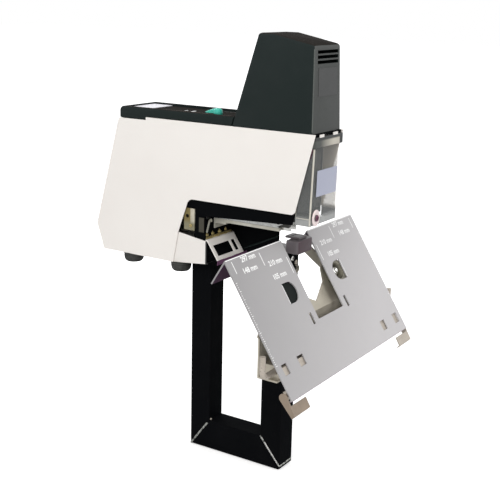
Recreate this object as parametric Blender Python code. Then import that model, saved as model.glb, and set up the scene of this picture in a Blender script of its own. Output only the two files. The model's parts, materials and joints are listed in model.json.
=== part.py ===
# Electric stapler on a bench frame, with a tilting saddle table.
# Metres, +Z up. The case faces -Y, and its base rests at z = 0 on the world origin.
import math

import bmesh
import bpy
from mathutils import Vector

# Driving dimensions

GAP = 0.0003  # between pieces that touch
RUNNING = 0.0005  # between pieces that slide on each other
OVERRUN = 0.003  # how far a cut runs past the face it opens
SHEET = 0.0015  # steel sheet of the case

CASE_HALF = 0.035
CASE_FRONT = -0.2355
CASE_BACK = 0.0925
CASE_TOP = 0.182
PAN_BACK = 0.0792
PAN_FRONT = -0.086
THROAT_HEIGHT = 0.0856

DRIVE_LINE = -0.192  # y of the driver blade and of the table's ridge
ANVIL_TOP = 0.0527

TUBE = 0.030
TUBE_WALL = 0.002
REAR_TUBE_FRONT = -0.0807
FRONT_TUBE_FRONT = -0.191
FRAME_FLOOR = -0.2555
FOOT_RAIL = 0.040  # height of the frame's bottom tube

TABLE_HALF = 0.151
TABLE_SLOPE = math.radians(57.3)
TABLE_LENGTH = 0.1695
TABLE_SHEET = 0.002
CARRIER_SHEET = 0.002
TILT_Y = -0.176
TILT_Z = 0.023

INNER_HALF = CASE_HALF - SHEET - GAP

ROUND_STEPS = 32
ARC_STEPS = 5


# Helpers

def clear_scene():
    for item in list(bpy.data.objects):
        bpy.data.objects.remove(item, do_unlink=True)


def paint(name, colour, roughness, metallic=0.0, alpha=1.0):
    made = bpy.data.materials.new(name)
    made.use_nodes = True
    shader = made.node_tree.nodes["Principled BSDF"]
    shader.inputs["Base Color"].default_value = (*colour, 1.0)
    shader.inputs["Roughness"].default_value = roughness
    shader.inputs["Metallic"].default_value = metallic
    shader.inputs["Alpha"].default_value = alpha
    return made


def arc(centre, radius, start, sweep, steps=ARC_STEPS):
    # Points on a circle, from the start angle through the sweep, in radians.
    turns = [start + sweep * step / steps for step in range(steps + 1)]
    return [(centre[0] + radius * math.cos(t), centre[1] + radius * math.sin(t)) for t in turns]


def loop(corners):
    # Each corner is (a, b) or (a, b, radius). A radius becomes an arc that touches both sides.
    points = []
    for index, corner in enumerate(corners):
        here = Vector(corner[:2])
        if len(corner) == 2:
            points.append(tuple(here))
            continue
        before = (Vector(corners[index - 1][:2]) - here).normalized()
        after = (Vector(corners[(index + 1) % len(corners)][:2]) - here).normalized()
        half = before.angle(after) / 2
        centre = here + (before + after).normalized() * (corner[2] / math.sin(half))
        start = here + before * (corner[2] / math.tan(half)) - centre
        end = here + after * (corner[2] / math.tan(half)) - centre
        sweep = math.atan2(start.x * end.y - start.y * end.x, start.dot(end))
        points += arc(centre, corner[2], math.atan2(start.y, start.x), sweep)
    return points


def strip(path, thick):
    # The outline of a bent sheet: a path of (a, b) and its offset to the left by the sheet.
    line = [Vector(point[:2]) for point in path]
    side = []
    for index, here in enumerate(line):
        ways = []
        if index:
            ways.append((here - line[index - 1]).normalized())
        if index < len(line) - 1:
            ways.append((line[index + 1] - here).normalized())
        normals = [Vector((-way.y, way.x)) for way in ways]
        mean = (normals[0] + normals[-1]).normalized()
        side.append(tuple(here + mean * (thick / mean.dot(normals[0]))))
    return [tuple(point) for point in line] + side[::-1]


def rectangle(low_a, low_b, high_a, high_b):
    return [(low_a, low_b), (high_a, low_b), (high_a, high_b), (low_a, high_b)]


def set_out(axis, a, b, c):
    # An outline lies in (y, z), (x, z) or (x, y), and c runs along the named axis.
    return {"x": (c, a, b), "y": (a, c, b), "z": (a, b, c)}[axis]


def bridge(rings):
    # One closed body through rings of equal count, capped at both ends.
    shape = bmesh.new()
    made = [[shape.verts.new(point) for point in ring] for ring in rings]
    count = len(made[0])
    shape.faces.new(made[0])
    shape.faces.new(made[-1])
    for lower, upper in zip(made, made[1:]):
        for i in range(count):
            j = (i + 1) % count
            shape.faces.new((lower[i], lower[j], upper[j], upper[i]))
    bmesh.ops.recalc_face_normals(shape, faces=shape.faces)
    return shape


def prism(axis, outline, low, high):
    return bridge([[set_out(axis, a, b, c) for a, b in outline] for c in (low, high)])


def box(low, high):
    return prism("z", rectangle(low[0], low[1], high[0], high[1]), low[2], high[2])


def turned(axis, centre, profile, steps=ROUND_STEPS):
    # A turned solid: the profile is a list of (radius, place along the axis).
    rings = []
    for radius, place in profile:
        ring = arc(centre, radius, 0, math.tau * (steps - 1) / steps, steps - 1)
        rings.append([set_out(axis, a, b, place) for a, b in ring])
    return bridge(rings)


def rod(axis, centre, radius, low, high, steps=ROUND_STEPS):
    return turned(axis, centre, [(radius, low), (radius, high)], steps)


def sweep_tube(route, radius, normal, steps):
    # A round bar along a route of points in the plane of this normal, with mitred rings.
    line = [Vector(point) for point in route]
    ways = [(b - a).normalized() for a, b in zip(line, line[1:])]
    plane = Vector(normal).normalized()
    rings = []
    for index, here in enumerate(line):
        before = ways[max(index - 1, 0)]
        after = ways[min(index, len(ways) - 1)]
        mean = (before + after).normalized()
        across = mean.cross(plane).normalized() / mean.dot(before)
        angles = [math.tau * step / steps for step in range(steps)]
        rings.append([here + (across * math.cos(t) + plane * math.sin(t)) * radius for t in angles])
    return bridge(rings)


def together(shapes):
    # Several bodies that stay clear of each other, in one mesh.
    whole = bmesh.new()
    for shape in shapes:
        spare = bpy.data.meshes.new("spare")
        shape.to_mesh(spare)
        shape.free()
        whole.from_mesh(spare)
        bpy.data.meshes.remove(spare)
    return whole


def solid(name, shape, look, parent=None, at=(0, 0, 0), smooth=False):
    # The shape is given in its parent's frame, and the object's own origin goes to the point at.
    mesh = bpy.data.meshes.new(name)
    bmesh.ops.translate(shape, verts=shape.verts, vec=-Vector(at))
    shape.to_mesh(mesh)
    shape.free()
    if smooth:
        mesh.shade_smooth()
        mesh.set_sharp_from_angle(angle=math.radians(35))
    made = bpy.data.objects.new(name, mesh)
    bpy.context.scene.collection.objects.link(made)
    made.location = at
    made.parent = parent
    if look is not None:
        mesh.materials.append(look)
    return made


def combine(target, shape, operation, word, frame=None):
    # The shape is given in its target's parent's frame, or in another frame that is named.
    at = (0, 0, 0) if frame else tuple(target.location)
    guide = solid(f"{target.name}_{word}", shape, None, frame or target.parent, at)
    guide.hide_render = True
    guide.display_type = "WIRE"
    modifier = target.modifiers.new(word, "BOOLEAN")
    modifier.operation = operation
    modifier.object = guide
    modifier.solver = "EXACT"


def cut(target, *shapes, frame=None):
    combine(target, together(shapes), "DIFFERENCE", "cut", frame)


def join(target, *shapes):
    for shape in shapes:
        combine(target, shape, "UNION", "join")


def ease(target, width, angle=40):
    # Rounds the sharp edges of a pressed or moulded piece.
    modifier = target.modifiers.new("ease", "BEVEL")
    modifier.width = width
    modifier.segments = 2
    modifier.limit_method = "ANGLE"
    modifier.angle_limit = math.radians(angle)


def pivot(name, at, turn=(0, 0, 0), parent=None):
    made = bpy.data.objects.new(name, None)
    bpy.context.scene.collection.objects.link(made)
    made.location = at
    made.rotation_euler = turn
    made.parent = parent
    return made


clear_scene()

cream = paint("cream_enamel", (0.72, 0.70, 0.60), 0.42)
white = paint("white_enamel", (0.80, 0.80, 0.76), 0.40)
black = paint("black_texture", (0.022, 0.022, 0.026), 0.55)
dark = paint("dark_steel", (0.10, 0.09, 0.10), 0.45, 0.6)
lilac = paint("grey_enamel", (0.42, 0.41, 0.46), 0.40)
zinc = paint("zinc_steel", (0.48, 0.44, 0.34), 0.38, 0.8)
galvanised = paint("galvanised_steel", (0.60, 0.61, 0.62), 0.35, 0.9)
bright = paint("bright_steel", (0.72, 0.71, 0.68), 0.22, 1.0)
yellow_zinc = paint("yellow_zinc", (0.66, 0.55, 0.28), 0.35, 0.8)
rubber = paint("rubber", (0.015, 0.015, 0.016), 0.75)
teal = paint("teal_plastic", (0.06, 0.46, 0.37), 0.35)
pale = paint("pale_plate", (0.66, 0.66, 0.62), 0.45)
smoke = paint("smoky_clear", (0.55, 0.53, 0.58), 0.08, 0.0, 0.35)
copper = paint("copper_winding", (0.50, 0.22, 0.10), 0.40, 0.7)
green_board = paint("board", (0.03, 0.16, 0.07), 0.50)


# Case: base pan, side panels, rear wall, feet

PAN_SIDE_TOP = 0.0405
PAN_NOSE_TOP = 0.0343
PAN_NOSE_LOW = 0.005
PAN_STEP_BACK = -0.043
PAN_RAMP_BACK = -0.036
PAN_LIP = 0.002

base_outline = [
    (PAN_BACK, 0),
    (PAN_BACK, PAN_SIDE_TOP),
    (PAN_STEP_BACK, PAN_SIDE_TOP),
    (PAN_FRONT, PAN_NOSE_TOP),
    (PAN_FRONT, PAN_NOSE_LOW),
    (PAN_RAMP_BACK, 0),
]


def make_base_pan():
    pan = solid("base_pan", prism("x", base_outline, -INNER_HALF, INNER_HALF), white)
    floor_outline = [
        (PAN_BACK - SHEET, SHEET),
        (PAN_BACK - SHEET, PAN_SIDE_TOP + OVERRUN),
        (PAN_FRONT + SHEET, PAN_SIDE_TOP + OVERRUN),
        (PAN_FRONT + SHEET, PAN_NOSE_LOW + SHEET),
        (PAN_RAMP_BACK, SHEET),
    ]
    cut(pan, prism("x", floor_outline, SHEET - INNER_HALF, INNER_HALF - SHEET))
    lip_low = (-INNER_HALF, PAN_FRONT - PAN_LIP, PAN_NOSE_LOW)
    lip_high = (INNER_HALF, PAN_FRONT + SHEET / 2, PAN_NOSE_LOW + SHEET)
    join(pan, box(lip_low, lip_high))
    return pan


BASE_REAR = 0.081
KINK_HEIGHT = 0.034
SHOULDER_REAR = 0.055
SHOULDER_HEIGHT = 0.172
REAR_TOP = 0.0528
COVER_STEP_Y = 0.009
COVER_STEP = 0.0037
NOSE_LOW_Y = -0.212
NOSE_LOW_HEIGHT = 0.0885
NOSE_CORNER = 0.004
THROAT_CORNER = 0.009
THROAT_BACK = -0.0588
NECK_LOW_Y = -0.0427
NECK_LOW_HEIGHT = 0.0408
BASE_NOSE_Y = -0.0349

low_cover_top = CASE_TOP - COVER_STEP

panel_outline = [
    (BASE_REAR, 0),
    (CASE_BACK, KINK_HEIGHT),
    (SHOULDER_REAR, SHOULDER_HEIGHT),
    (REAR_TOP, low_cover_top),
    (COVER_STEP_Y, low_cover_top),
    (COVER_STEP_Y, CASE_TOP),
    (CASE_FRONT, CASE_TOP),
    (NOSE_LOW_Y, NOSE_LOW_HEIGHT, NOSE_CORNER),
    (NOSE_LOW_Y + NOSE_CORNER, THROAT_HEIGHT),
    (THROAT_BACK, THROAT_HEIGHT, THROAT_CORNER),
    (NECK_LOW_Y, NECK_LOW_HEIGHT),
    (BASE_NOSE_Y, 0),
]


def make_side_panel(name, side):
    inner = side * (CASE_HALF - SHEET)
    outer = side * CASE_HALF
    sheet = prism("x", loop(panel_outline), min(inner, outer), max(inner, outer))
    return solid(name, sheet, cream)


FOOT_TOP = 0.0135
FOOT_BOTTOM = 0.0095
FOOT_HEIGHT = 0.012
FOOT_RIM = 0.003
FOOT_INSET = 0.0125
FOOT_PLACE = 0.039
FOOT_STEPS = 24


def make_feet():
    profile = [(FOOT_BOTTOM, -FOOT_HEIGHT), (FOOT_TOP, -FOOT_RIM), (FOOT_TOP, -GAP)]
    for word, side in (("left", -1), ("right", 1)):
        for end, way in (("front", -1), ("rear", 1)):
            centre = (side * (CASE_HALF - FOOT_INSET), way * FOOT_PLACE)
            solid(f"foot_{end}_{word}", turned("z", centre, profile, FOOT_STEPS), rubber, smooth=True)


def make_rear_wall():
    path = [(REAR_TOP, low_cover_top - GAP), (SHOULDER_REAR, SHOULDER_HEIGHT)]
    path += [(CASE_BACK, KINK_HEIGHT), (BASE_REAR, 0)]
    return solid("rear_wall", prism("x", strip(path, -SHEET), -INNER_HALF, INNER_HALF), cream)


# Arm and neck: the frame that carries the head, and what shows in the throat

ARM_WALL = 0.002
ARM_SIDE = 0.0024  # from the panel's inner face to the arm
ARM_LOW = 0.0655
ARM_NOSE_LOW = 0.0723
ARM_TOP = 0.128
ARM_NOSE_LOW_Y = -0.2067
ARM_NOSE_Y = -0.2092
WEB_FRONT = -0.1777
LEG_FRONT = -0.082
LEG_BACK = -0.065
BRIDGE_LOW = 0.073
REAR_LEG_FRONT = 0.025
REAR_LEG_BACK = 0.045

arm_half = INNER_HALF - ARM_SIDE
arm_inner = arm_half - ARM_WALL


def pan_floor(y):
    # Height of the pan's upper face, which ramps up toward its nose.
    share = (y - PAN_RAMP_BACK) / (PAN_FRONT - PAN_RAMP_BACK)
    return SHEET + PAN_NOSE_LOW * max(0, share)


def make_arm_frame():
    cheek = [
        (ARM_NOSE_LOW_Y, ARM_NOSE_LOW),
        (LEG_FRONT, ARM_LOW),
        (LEG_FRONT, pan_floor(LEG_FRONT) + GAP),
        (LEG_BACK, pan_floor(LEG_BACK) + GAP),
        (LEG_BACK, BRIDGE_LOW),
        (REAR_LEG_FRONT, BRIDGE_LOW),
        (REAR_LEG_FRONT, SHEET + GAP),
        (REAR_LEG_BACK, SHEET + GAP),
        (REAR_LEG_BACK, ARM_TOP),
        (ARM_NOSE_Y, ARM_TOP),
        (ARM_NOSE_Y, THROAT_HEIGHT),
    ]
    frame = solid("arm_frame", prism("x", cheek, -arm_half, arm_half), black)
    channel = rectangle(ARM_NOSE_Y - OVERRUN, -OVERRUN, REAR_LEG_BACK + OVERRUN, ARM_TOP - ARM_WALL)
    cut(frame, prism("x", channel, -arm_inner, arm_inner))
    mouth = rectangle(ARM_NOSE_Y - OVERRUN, 0, WEB_FRONT, ARM_TOP + OVERRUN)
    cut(frame, prism("x", mouth, -arm_inner, arm_inner))
    return frame


NECK_BACK = -0.078
NECK_TOP = 0.060


def make_neck_wall():
    # Closes the rear of the throat between the cheeks of the arm frame.
    half = arm_inner - GAP
    outline = [
        (NECK_BACK, pan_floor(NECK_BACK) + GAP),
        (NECK_BACK, NECK_TOP),
        (NECK_BACK - ARM_WALL, NECK_TOP),
        (NECK_BACK - ARM_WALL, pan_floor(NECK_BACK - ARM_WALL) + GAP),
    ]
    return solid("neck_wall", prism("x", outline, -half, half), black)


BRACKET_LOW = 0.0455
BRACKET_TOP = 0.0735
BRACKET_BACK = -0.0505
BRACKET_HOLE_RADIUS = 0.0025
BRACKET_HOLE = (-0.0555, 0.0633)
BRACKET_FOOT = 0.014


def make_throat_bracket():
    outer = -(arm_half + GAP + SHEET)
    inner = -(arm_half + GAP)
    front = LEG_BACK - SHEET
    upright = prism("x", rectangle(front, BRACKET_LOW, BRACKET_BACK, BRACKET_TOP), outer, inner)
    bracket = solid("throat_bracket", upright, galvanised)
    foot_low = (outer, LEG_BACK + GAP, BRACKET_LOW)
    foot_high = (inner + BRACKET_FOOT, BRACKET_BACK, BRACKET_LOW + SHEET)
    join(bracket, box(foot_low, foot_high))
    cut(bracket, rod("x", BRACKET_HOLE, BRACKET_HOLE_RADIUS, outer - OVERRUN, inner + OVERRUN, 16))
    return bracket


APRON_TOP = 0.0378
APRON_LOW = 0.0117
APRON_FRONT = -0.102
HOOK_DEPTH = 0.011
APRON_RIGHT = 0.0265
APRON_WINDOWS = ((-0.027, 0.008), (0.0125, 0.020))
APRON_WINDOW_LOW_SHARE = 0.18
APRON_WINDOW_HIGH_SHARE = 0.66


def make_base_apron():
    # A bent sheet that hooks over the pan's nose and slopes down in front of it.
    inner_half = INNER_HALF - SHEET - GAP
    behind = PAN_FRONT + SHEET + GAP
    before = PAN_FRONT - GAP
    over = PAN_NOSE_TOP + GAP
    hook = [(behind, over - HOOK_DEPTH), (behind, over), (PAN_FRONT, over)]
    slope = [(PAN_FRONT + SHEET / 2, over), (before, over), (APRON_FRONT, APRON_LOW)]
    apron = solid("base_apron", prism("x", strip(slope, -SHEET), -INNER_HALF, APRON_RIGHT), white)
    crest = strip(hook, -SHEET)
    join(apron, prism("x", crest, -inner_half, min(inner_half, APRON_RIGHT)))
    height = APRON_TOP - APRON_LOW
    low = APRON_LOW + height * APRON_WINDOW_LOW_SHARE
    high = APRON_LOW + height * APRON_WINDOW_HIGH_SHARE
    front = APRON_FRONT - OVERRUN
    windows = [box((left, front, low), (right, before, high)) for left, right in APRON_WINDOWS]
    cut(apron, *windows)
    return apron


CLAMP_TOP = 0.0385
CLAMP_LOW = 0.030


def make_clamp_bar():
    front = PAN_FRONT + SHEET + GAP + SHEET + GAP
    back = NECK_BACK - ARM_WALL - GAP
    half = arm_inner - GAP
    return solid("clamp_bar", box((-half, front, CLAMP_LOW), (half, back, CLAMP_TOP)), yellow_zinc)


SHIELD_WALL = 0.002
SHIELD_FRONT = -0.150
SHIELD_FRONT_LOW = 0.018
SHIELD_NOSE_Y = -0.095
SHIELD_LOW = 0.003
SHIELD_BACK = -0.030
SHIELD_TOP = 0.096


def make_throat_shield():
    # A plate on the right side of the case that closes that end of the throat.
    outline = [
        (SHIELD_FRONT, SHIELD_TOP),
        (SHIELD_FRONT, SHIELD_FRONT_LOW),
        (SHIELD_NOSE_Y, SHIELD_LOW),
        (SHIELD_BACK, SHIELD_LOW),
        (SHIELD_BACK, SHIELD_TOP),
    ]
    inner = CASE_HALF + GAP
    return solid("throat_shield", prism("x", outline, inner, inner + SHIELD_WALL), black)


# Top: cover, plate, dial and the electrics below it

COVER_INSET = 0.001
COVER_REAR = 0.0515
COVER_TOP = 0.1935
COVER_WALL = 0.002
COVER_ROUND = 0.006
COVER_EASE = 0.0012
RECESS_DEPTH = 0.003
RECESS_INSET = 0.005
RECESS_REAR = 0.046
RECESS_FRONT = -0.118
RECESS_ROUND = 0.005
TOWER_BACK_LOW_Y = -0.1203
TOWER_BACK_TOP_Y = -0.1528
TOWER_FRONT_HEIGHT = 0.2816
TOWER_RISE = 0.0109  # from the front edge of the roof to its crest

tower_top = TOWER_FRONT_HEIGHT + TOWER_RISE
recess_floor = COVER_TOP - RECESS_DEPTH
cover_half = CASE_HALF - COVER_INSET
recess_half = cover_half - RECESS_INSET


def tower_back(z):
    # y of the tower's sloping back face at a height.
    share = (z - CASE_TOP) / (tower_top - CASE_TOP)
    return TOWER_BACK_LOW_Y + share * (TOWER_BACK_TOP_Y - TOWER_BACK_LOW_Y)


def make_top_cover():
    low = CASE_TOP + GAP
    profile = [
        (COVER_REAR, low_cover_top + GAP),
        (COVER_REAR, COVER_TOP, COVER_ROUND),
        (tower_back(COVER_TOP) + GAP, COVER_TOP),
        (tower_back(low) + GAP, low),
        (COVER_STEP_Y, low),
        (COVER_STEP_Y, low_cover_top + GAP),
    ]
    cover = solid("top_cover", prism("x", loop(profile), -cover_half, cover_half), black)
    ease(cover, COVER_EASE)
    recess = loop([
        (-recess_half, RECESS_FRONT, RECESS_ROUND),
        (recess_half, RECESS_FRONT, RECESS_ROUND),
        (recess_half, RECESS_REAR, RECESS_ROUND),
        (-recess_half, RECESS_REAR, RECESS_ROUND),
    ])
    cut(cover, prism("z", recess, recess_floor, COVER_TOP + OVERRUN))
    inner = cover_half - COVER_WALL
    ceiling = recess_floor - COVER_WALL
    hollow_low = (-inner, tower_back(low) + COVER_WALL, low_cover_top - OVERRUN)
    cut(cover, box(hollow_low, (inner, COVER_REAR - COVER_WALL, ceiling)))
    hole = rod("z", (DIAL_X, DIAL_Y), DIAL_SHAFT + GAP, ceiling - OVERRUN, COVER_TOP, 16)
    cut(cover, hole)
    return cover


PLATE_THICK = 0.0008
PLATE_LEFT = -0.020
PLATE_RIGHT = 0.0275
PLATE_FRONT = 0.0135
PLATE_REAR = 0.0435


def make_instruction_plate():
    low = (PLATE_LEFT, PLATE_FRONT, recess_floor + GAP)
    high = (PLATE_RIGHT, PLATE_REAR, recess_floor + GAP + PLATE_THICK)
    return solid("instruction_plate", box(low, high), pale)


DIAL_X = -0.020
DIAL_Y = -0.0915
DIAL_RADIUS = 0.0062
DIAL_HEIGHT = 0.0095
DIAL_SHAFT = 0.002
DIAL_SHAFT_DEPTH = 0.012
POINTER_REACH = 0.0145
POINTER_HALF = 0.0026
POINTER_NOSE_SHARE = 0.8


def make_force_dial():
    # The origin is on the shaft, which is the knob's axis.
    centre = (DIAL_X, DIAL_Y)
    low = recess_floor + GAP
    knob = rod("z", centre, DIAL_RADIUS, low, low + DIAL_HEIGHT, 28)
    dial = solid("force_dial", knob, teal, None, (DIAL_X, DIAL_Y, low), True)
    nose_round = POINTER_HALF * POINTER_NOSE_SHARE
    nose = loop([
        (DIAL_X - POINTER_HALF, DIAL_Y - POINTER_HALF),
        (DIAL_X + POINTER_HALF, DIAL_Y - POINTER_HALF),
        (DIAL_X + POINTER_HALF, DIAL_Y + POINTER_REACH, nose_round),
        (DIAL_X - POINTER_HALF, DIAL_Y + POINTER_REACH, nose_round),
    ])
    join(dial, prism("z", nose, COVER_TOP + RUNNING, low + DIAL_HEIGHT - RUNNING))
    join(dial, rod("z", centre, DIAL_SHAFT, low - DIAL_SHAFT_DEPTH, low + DIAL_HEIGHT / 2, 16))
    return dial


BOARD_HALF = 0.024
BOARD_FRONT = -0.120
BOARD_BACK = -0.030
BOARD_THICK = 0.0016
BOARD_POST = 0.0025
BOARD_POST_HEIGHT = 0.008


def make_control_board():
    # A printed board on four posts.
    floor = ARM_TOP + GAP
    level = floor + BOARD_POST_HEIGHT
    low = (-BOARD_HALF, BOARD_FRONT, level)
    high = (BOARD_HALF, BOARD_BACK, level + BOARD_THICK)
    board = solid("control_board", box(low, high), green_board)
    inset = BOARD_POST * 2
    for x in (inset - BOARD_HALF, BOARD_HALF - inset):
        for y in (BOARD_FRONT + inset, BOARD_BACK - inset):
            join(board, rod("z", (x, y), BOARD_POST, floor, level + BOARD_THICK / 2, 12))
    return board


BOX_HALF = 0.020
TRANSFORMER_FRONT = -0.012
TRANSFORMER_BACK = 0.030
TRANSFORMER_HEIGHT = 0.030
COIL_OVERHANG = 0.005
WOUND_SHARE = 0.65


def make_transformer():
    floor = ARM_TOP + GAP
    low = (-BOX_HALF, TRANSFORMER_FRONT, floor)
    high = (BOX_HALF, TRANSFORMER_BACK, floor + TRANSFORMER_HEIGHT)
    core = solid("transformer", box(low, high), dark)
    wound = BOX_HALF * WOUND_SHARE
    wound_top = floor + TRANSFORMER_HEIGHT - COIL_OVERHANG
    wound_low = (-wound, TRANSFORMER_FRONT - COIL_OVERHANG, floor + COIL_OVERHANG)
    wound_high = (wound, TRANSFORMER_BACK + COIL_OVERHANG, wound_top)
    join(core, box(wound_low, wound_high))
    return core


# Tower and solenoid

TOWER_LEAN = 0.0039  # each side leans in by this
TOWER_FRONT_LOW = -0.2315
TOWER_FRONT_TOP = -0.2286
TOWER_CREST = -0.173
TOWER_WALL = 0.002
TOWER_EASE = 0.0035
TOWER_SPARE = 0.010
VENT_INSET = 0.0102
VENT_BELOW = 0.0079  # under the front edge of the roof
VENT_PITCH = 0.0057
VENT_HEIGHT = 0.0037
VENT_COUNT = 3


def tower_front(z):
    share = (z - CASE_TOP) / (TOWER_FRONT_HEIGHT - CASE_TOP)
    return TOWER_FRONT_LOW + share * (TOWER_FRONT_TOP - TOWER_FRONT_LOW)


def tower_half(z):
    share = (z - CASE_TOP) / (tower_top - CASE_TOP)
    return CASE_HALF - GAP - share * TOWER_LEAN


def tower_shape(inset, low):
    # The tower's outside, or its hollow when inset by the wall. Both sides lean inward.
    top = tower_top - inset
    outline = [
        (tower_front(low) + inset, low),
        (tower_front(TOWER_FRONT_HEIGHT) + inset, TOWER_FRONT_HEIGHT - inset),
        (TOWER_CREST, top),
        (tower_back(top) - inset, top),
        (tower_back(low) - inset, low),
    ]
    shape = prism("x", outline, -1, 1)
    for vert in shape.verts:
        vert.co.x *= tower_half(vert.co.z) - inset
    return shape


def make_head_tower():
    low = CASE_TOP + GAP
    tower = solid("head_tower", tower_shape(0, low - TOWER_SPARE), black)
    ease(tower, TOWER_EASE)
    slab_low = (-CASE_HALF - OVERRUN, CASE_FRONT - OVERRUN, low - TOWER_SPARE - OVERRUN)
    slab_high = (CASE_HALF + OVERRUN, TOWER_BACK_LOW_Y + TOWER_SPARE + OVERRUN, low)
    cut(tower, box(slab_low, slab_high))
    cut(tower, tower_shape(TOWER_WALL, low - OVERRUN))
    vents = []
    vent_half = CASE_HALF - GAP - VENT_INSET
    for index in range(VENT_COUNT):
        top = TOWER_FRONT_HEIGHT - VENT_BELOW + VENT_HEIGHT / 2 - index * VENT_PITCH
        vent_low = (-vent_half, TOWER_FRONT_LOW - OVERRUN, top - VENT_HEIGHT)
        vents.append(box(vent_low, (vent_half, TOWER_FRONT_TOP + TOWER_WALL + OVERRUN, top)))
    cut(tower, *vents)
    return tower


HEAD_FRONT = -0.212
HEAD_BACK = -0.178
HEAD_LOW = 0.080
HEAD_TOP = 0.1659
NOSE_HALF = 0.010
NOSE_FRONT = -0.200
NOSE_BACK = -0.185
PLUNGER_RADIUS = 0.008
PLUNGER_LOW = 0.150
PLUNGER_BORE_LOW = 0.130
BLADE_HALF = 0.00625
BLADE_THICK = 0.0008
BLADE_LOW = 0.0695
BLADE_ROOT = 0.156
GUIDE_TOP = 0.0704
GUIDE_THICK = 0.002
HEAD_PIN_LENGTH = 0.010
BOSS_RADIUS = 0.0042


def make_head_block():
    head_half = arm_inner - GAP
    low = (-head_half, HEAD_FRONT, HEAD_LOW)
    block = solid("head_block", box(low, (head_half, HEAD_BACK, HEAD_TOP)), dark)
    nose_low = (-NOSE_HALF, NOSE_FRONT, GUIDE_TOP + GAP)
    join(block, box(nose_low, (NOSE_HALF, NOSE_BACK, HEAD_LOW + OVERRUN)))
    bore = PLUNGER_RADIUS + GAP
    cut(block, rod("z", (0, DRIVE_LINE), bore, PLUNGER_BORE_LOW, HEAD_TOP + OVERRUN))
    slot = BLADE_HALF + GAP
    thick = BLADE_THICK / 2 + GAP
    slot_low = (-slot, DRIVE_LINE - thick, GUIDE_TOP - OVERRUN)
    cut(block, box(slot_low, (slot, DRIVE_LINE + thick, PLUNGER_BORE_LOW + OVERRUN)))
    # A boss reaches forward to the guard and takes its screw.
    centre = (SCREW_X, SCREW_Z)
    boss_front = guard_front(SCREW_Z) + GUARD_WALL + RUNNING
    screw_back = HEAD_FRONT + HEAD_PIN_LENGTH + GAP
    join(block, rod("y", centre, BOSS_RADIUS, boss_front, HEAD_FRONT + OVERRUN, 20))
    cut(block, rod("y", centre, SCREW_RADIUS + GAP, boss_front - OVERRUN, screw_back, 16))
    return block


YOKE_HALF = 0.025
YOKE_FRONT = -0.216
YOKE_BACK = -0.168
YOKE_BELOW_ROOF = 0.0407
YOKE_PLATE = 0.0045
COIL_RADIUS = 0.0202

yoke_top = TOWER_FRONT_HEIGHT - YOKE_BELOW_ROOF


def make_solenoid_yoke():
    low = HEAD_TOP + GAP
    yoke_low = (-YOKE_HALF, YOKE_FRONT, low)
    yoke = solid("solenoid_yoke", box(yoke_low, (YOKE_HALF, YOKE_BACK, yoke_top)), dark)
    inner_low = (YOKE_PLATE - YOKE_HALF, YOKE_FRONT - OVERRUN, low + YOKE_PLATE)
    cut(yoke, box(inner_low, (YOKE_HALF - YOKE_PLATE, YOKE_BACK + OVERRUN, yoke_top - YOKE_PLATE)))
    bore = PLUNGER_RADIUS + GAP
    cut(yoke, rod("z", (0, DRIVE_LINE), bore, low - OVERRUN, yoke_top + OVERRUN))
    return yoke


def make_solenoid_coil():
    low = HEAD_TOP + GAP + YOKE_PLATE + GAP
    high = yoke_top - YOKE_PLATE - GAP
    winding = rod("z", (0, DRIVE_LINE), COIL_RADIUS, low, high)
    coil = solid("solenoid_coil", winding, copper, smooth=True)
    cut(coil, rod("z", (0, DRIVE_LINE), PLUNGER_RADIUS + RUNNING, low - OVERRUN, high + OVERRUN))
    return coil


SPRING_LENGTH = 0.0214
SPRING_RADIUS = 0.0105
COLLAR_RADIUS = 0.0125
COLLAR_THICK = 0.004


def make_return_spring():
    low = yoke_top + GAP
    outer = rod("z", (0, DRIVE_LINE), SPRING_RADIUS, low, low + SPRING_LENGTH)
    spring = solid("return_spring", outer, bright, smooth=True)
    inner = PLUNGER_RADIUS + RUNNING
    cut(spring, rod("z", (0, DRIVE_LINE), inner, low - OVERRUN, low + SPRING_LENGTH + OVERRUN))
    return spring


def make_plunger():
    collar_low = yoke_top + GAP + SPRING_LENGTH + GAP
    profile = [
        (PLUNGER_RADIUS, PLUNGER_LOW),
        (PLUNGER_RADIUS, collar_low),
        (COLLAR_RADIUS, collar_low),
        (COLLAR_RADIUS, collar_low + COLLAR_THICK),
    ]
    shape = turned("z", (0, DRIVE_LINE), profile)
    plunger = solid("plunger", shape, bright, None, (0, DRIVE_LINE, PLUNGER_LOW), True)
    slot = BLADE_HALF + GAP
    thick = BLADE_THICK / 2 + GAP
    slot_low = (-slot, DRIVE_LINE - thick, PLUNGER_LOW - OVERRUN)
    cut(plunger, box(slot_low, (slot, DRIVE_LINE + thick, BLADE_ROOT + GAP)))
    return plunger


def make_driver_blade():
    low = (-BLADE_HALF, DRIVE_LINE - BLADE_THICK / 2, BLADE_LOW)
    high = (BLADE_HALF, DRIVE_LINE + BLADE_THICK / 2, BLADE_ROOT)
    return solid("driver_blade", box(low, high), bright, None, (0, DRIVE_LINE, BLADE_LOW))


# Head front: shoulder, strip with its tabs, and the sliding guard

SHOULDER_FRONT = -0.2358
SHOULDER_LOW = 0.1663
SHOULDER_TOP = 0.1785
SHOULDER_WALL = 0.0023
SHOULDER_BACK = -0.218
SHOULDER_EASE = 0.001


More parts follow.
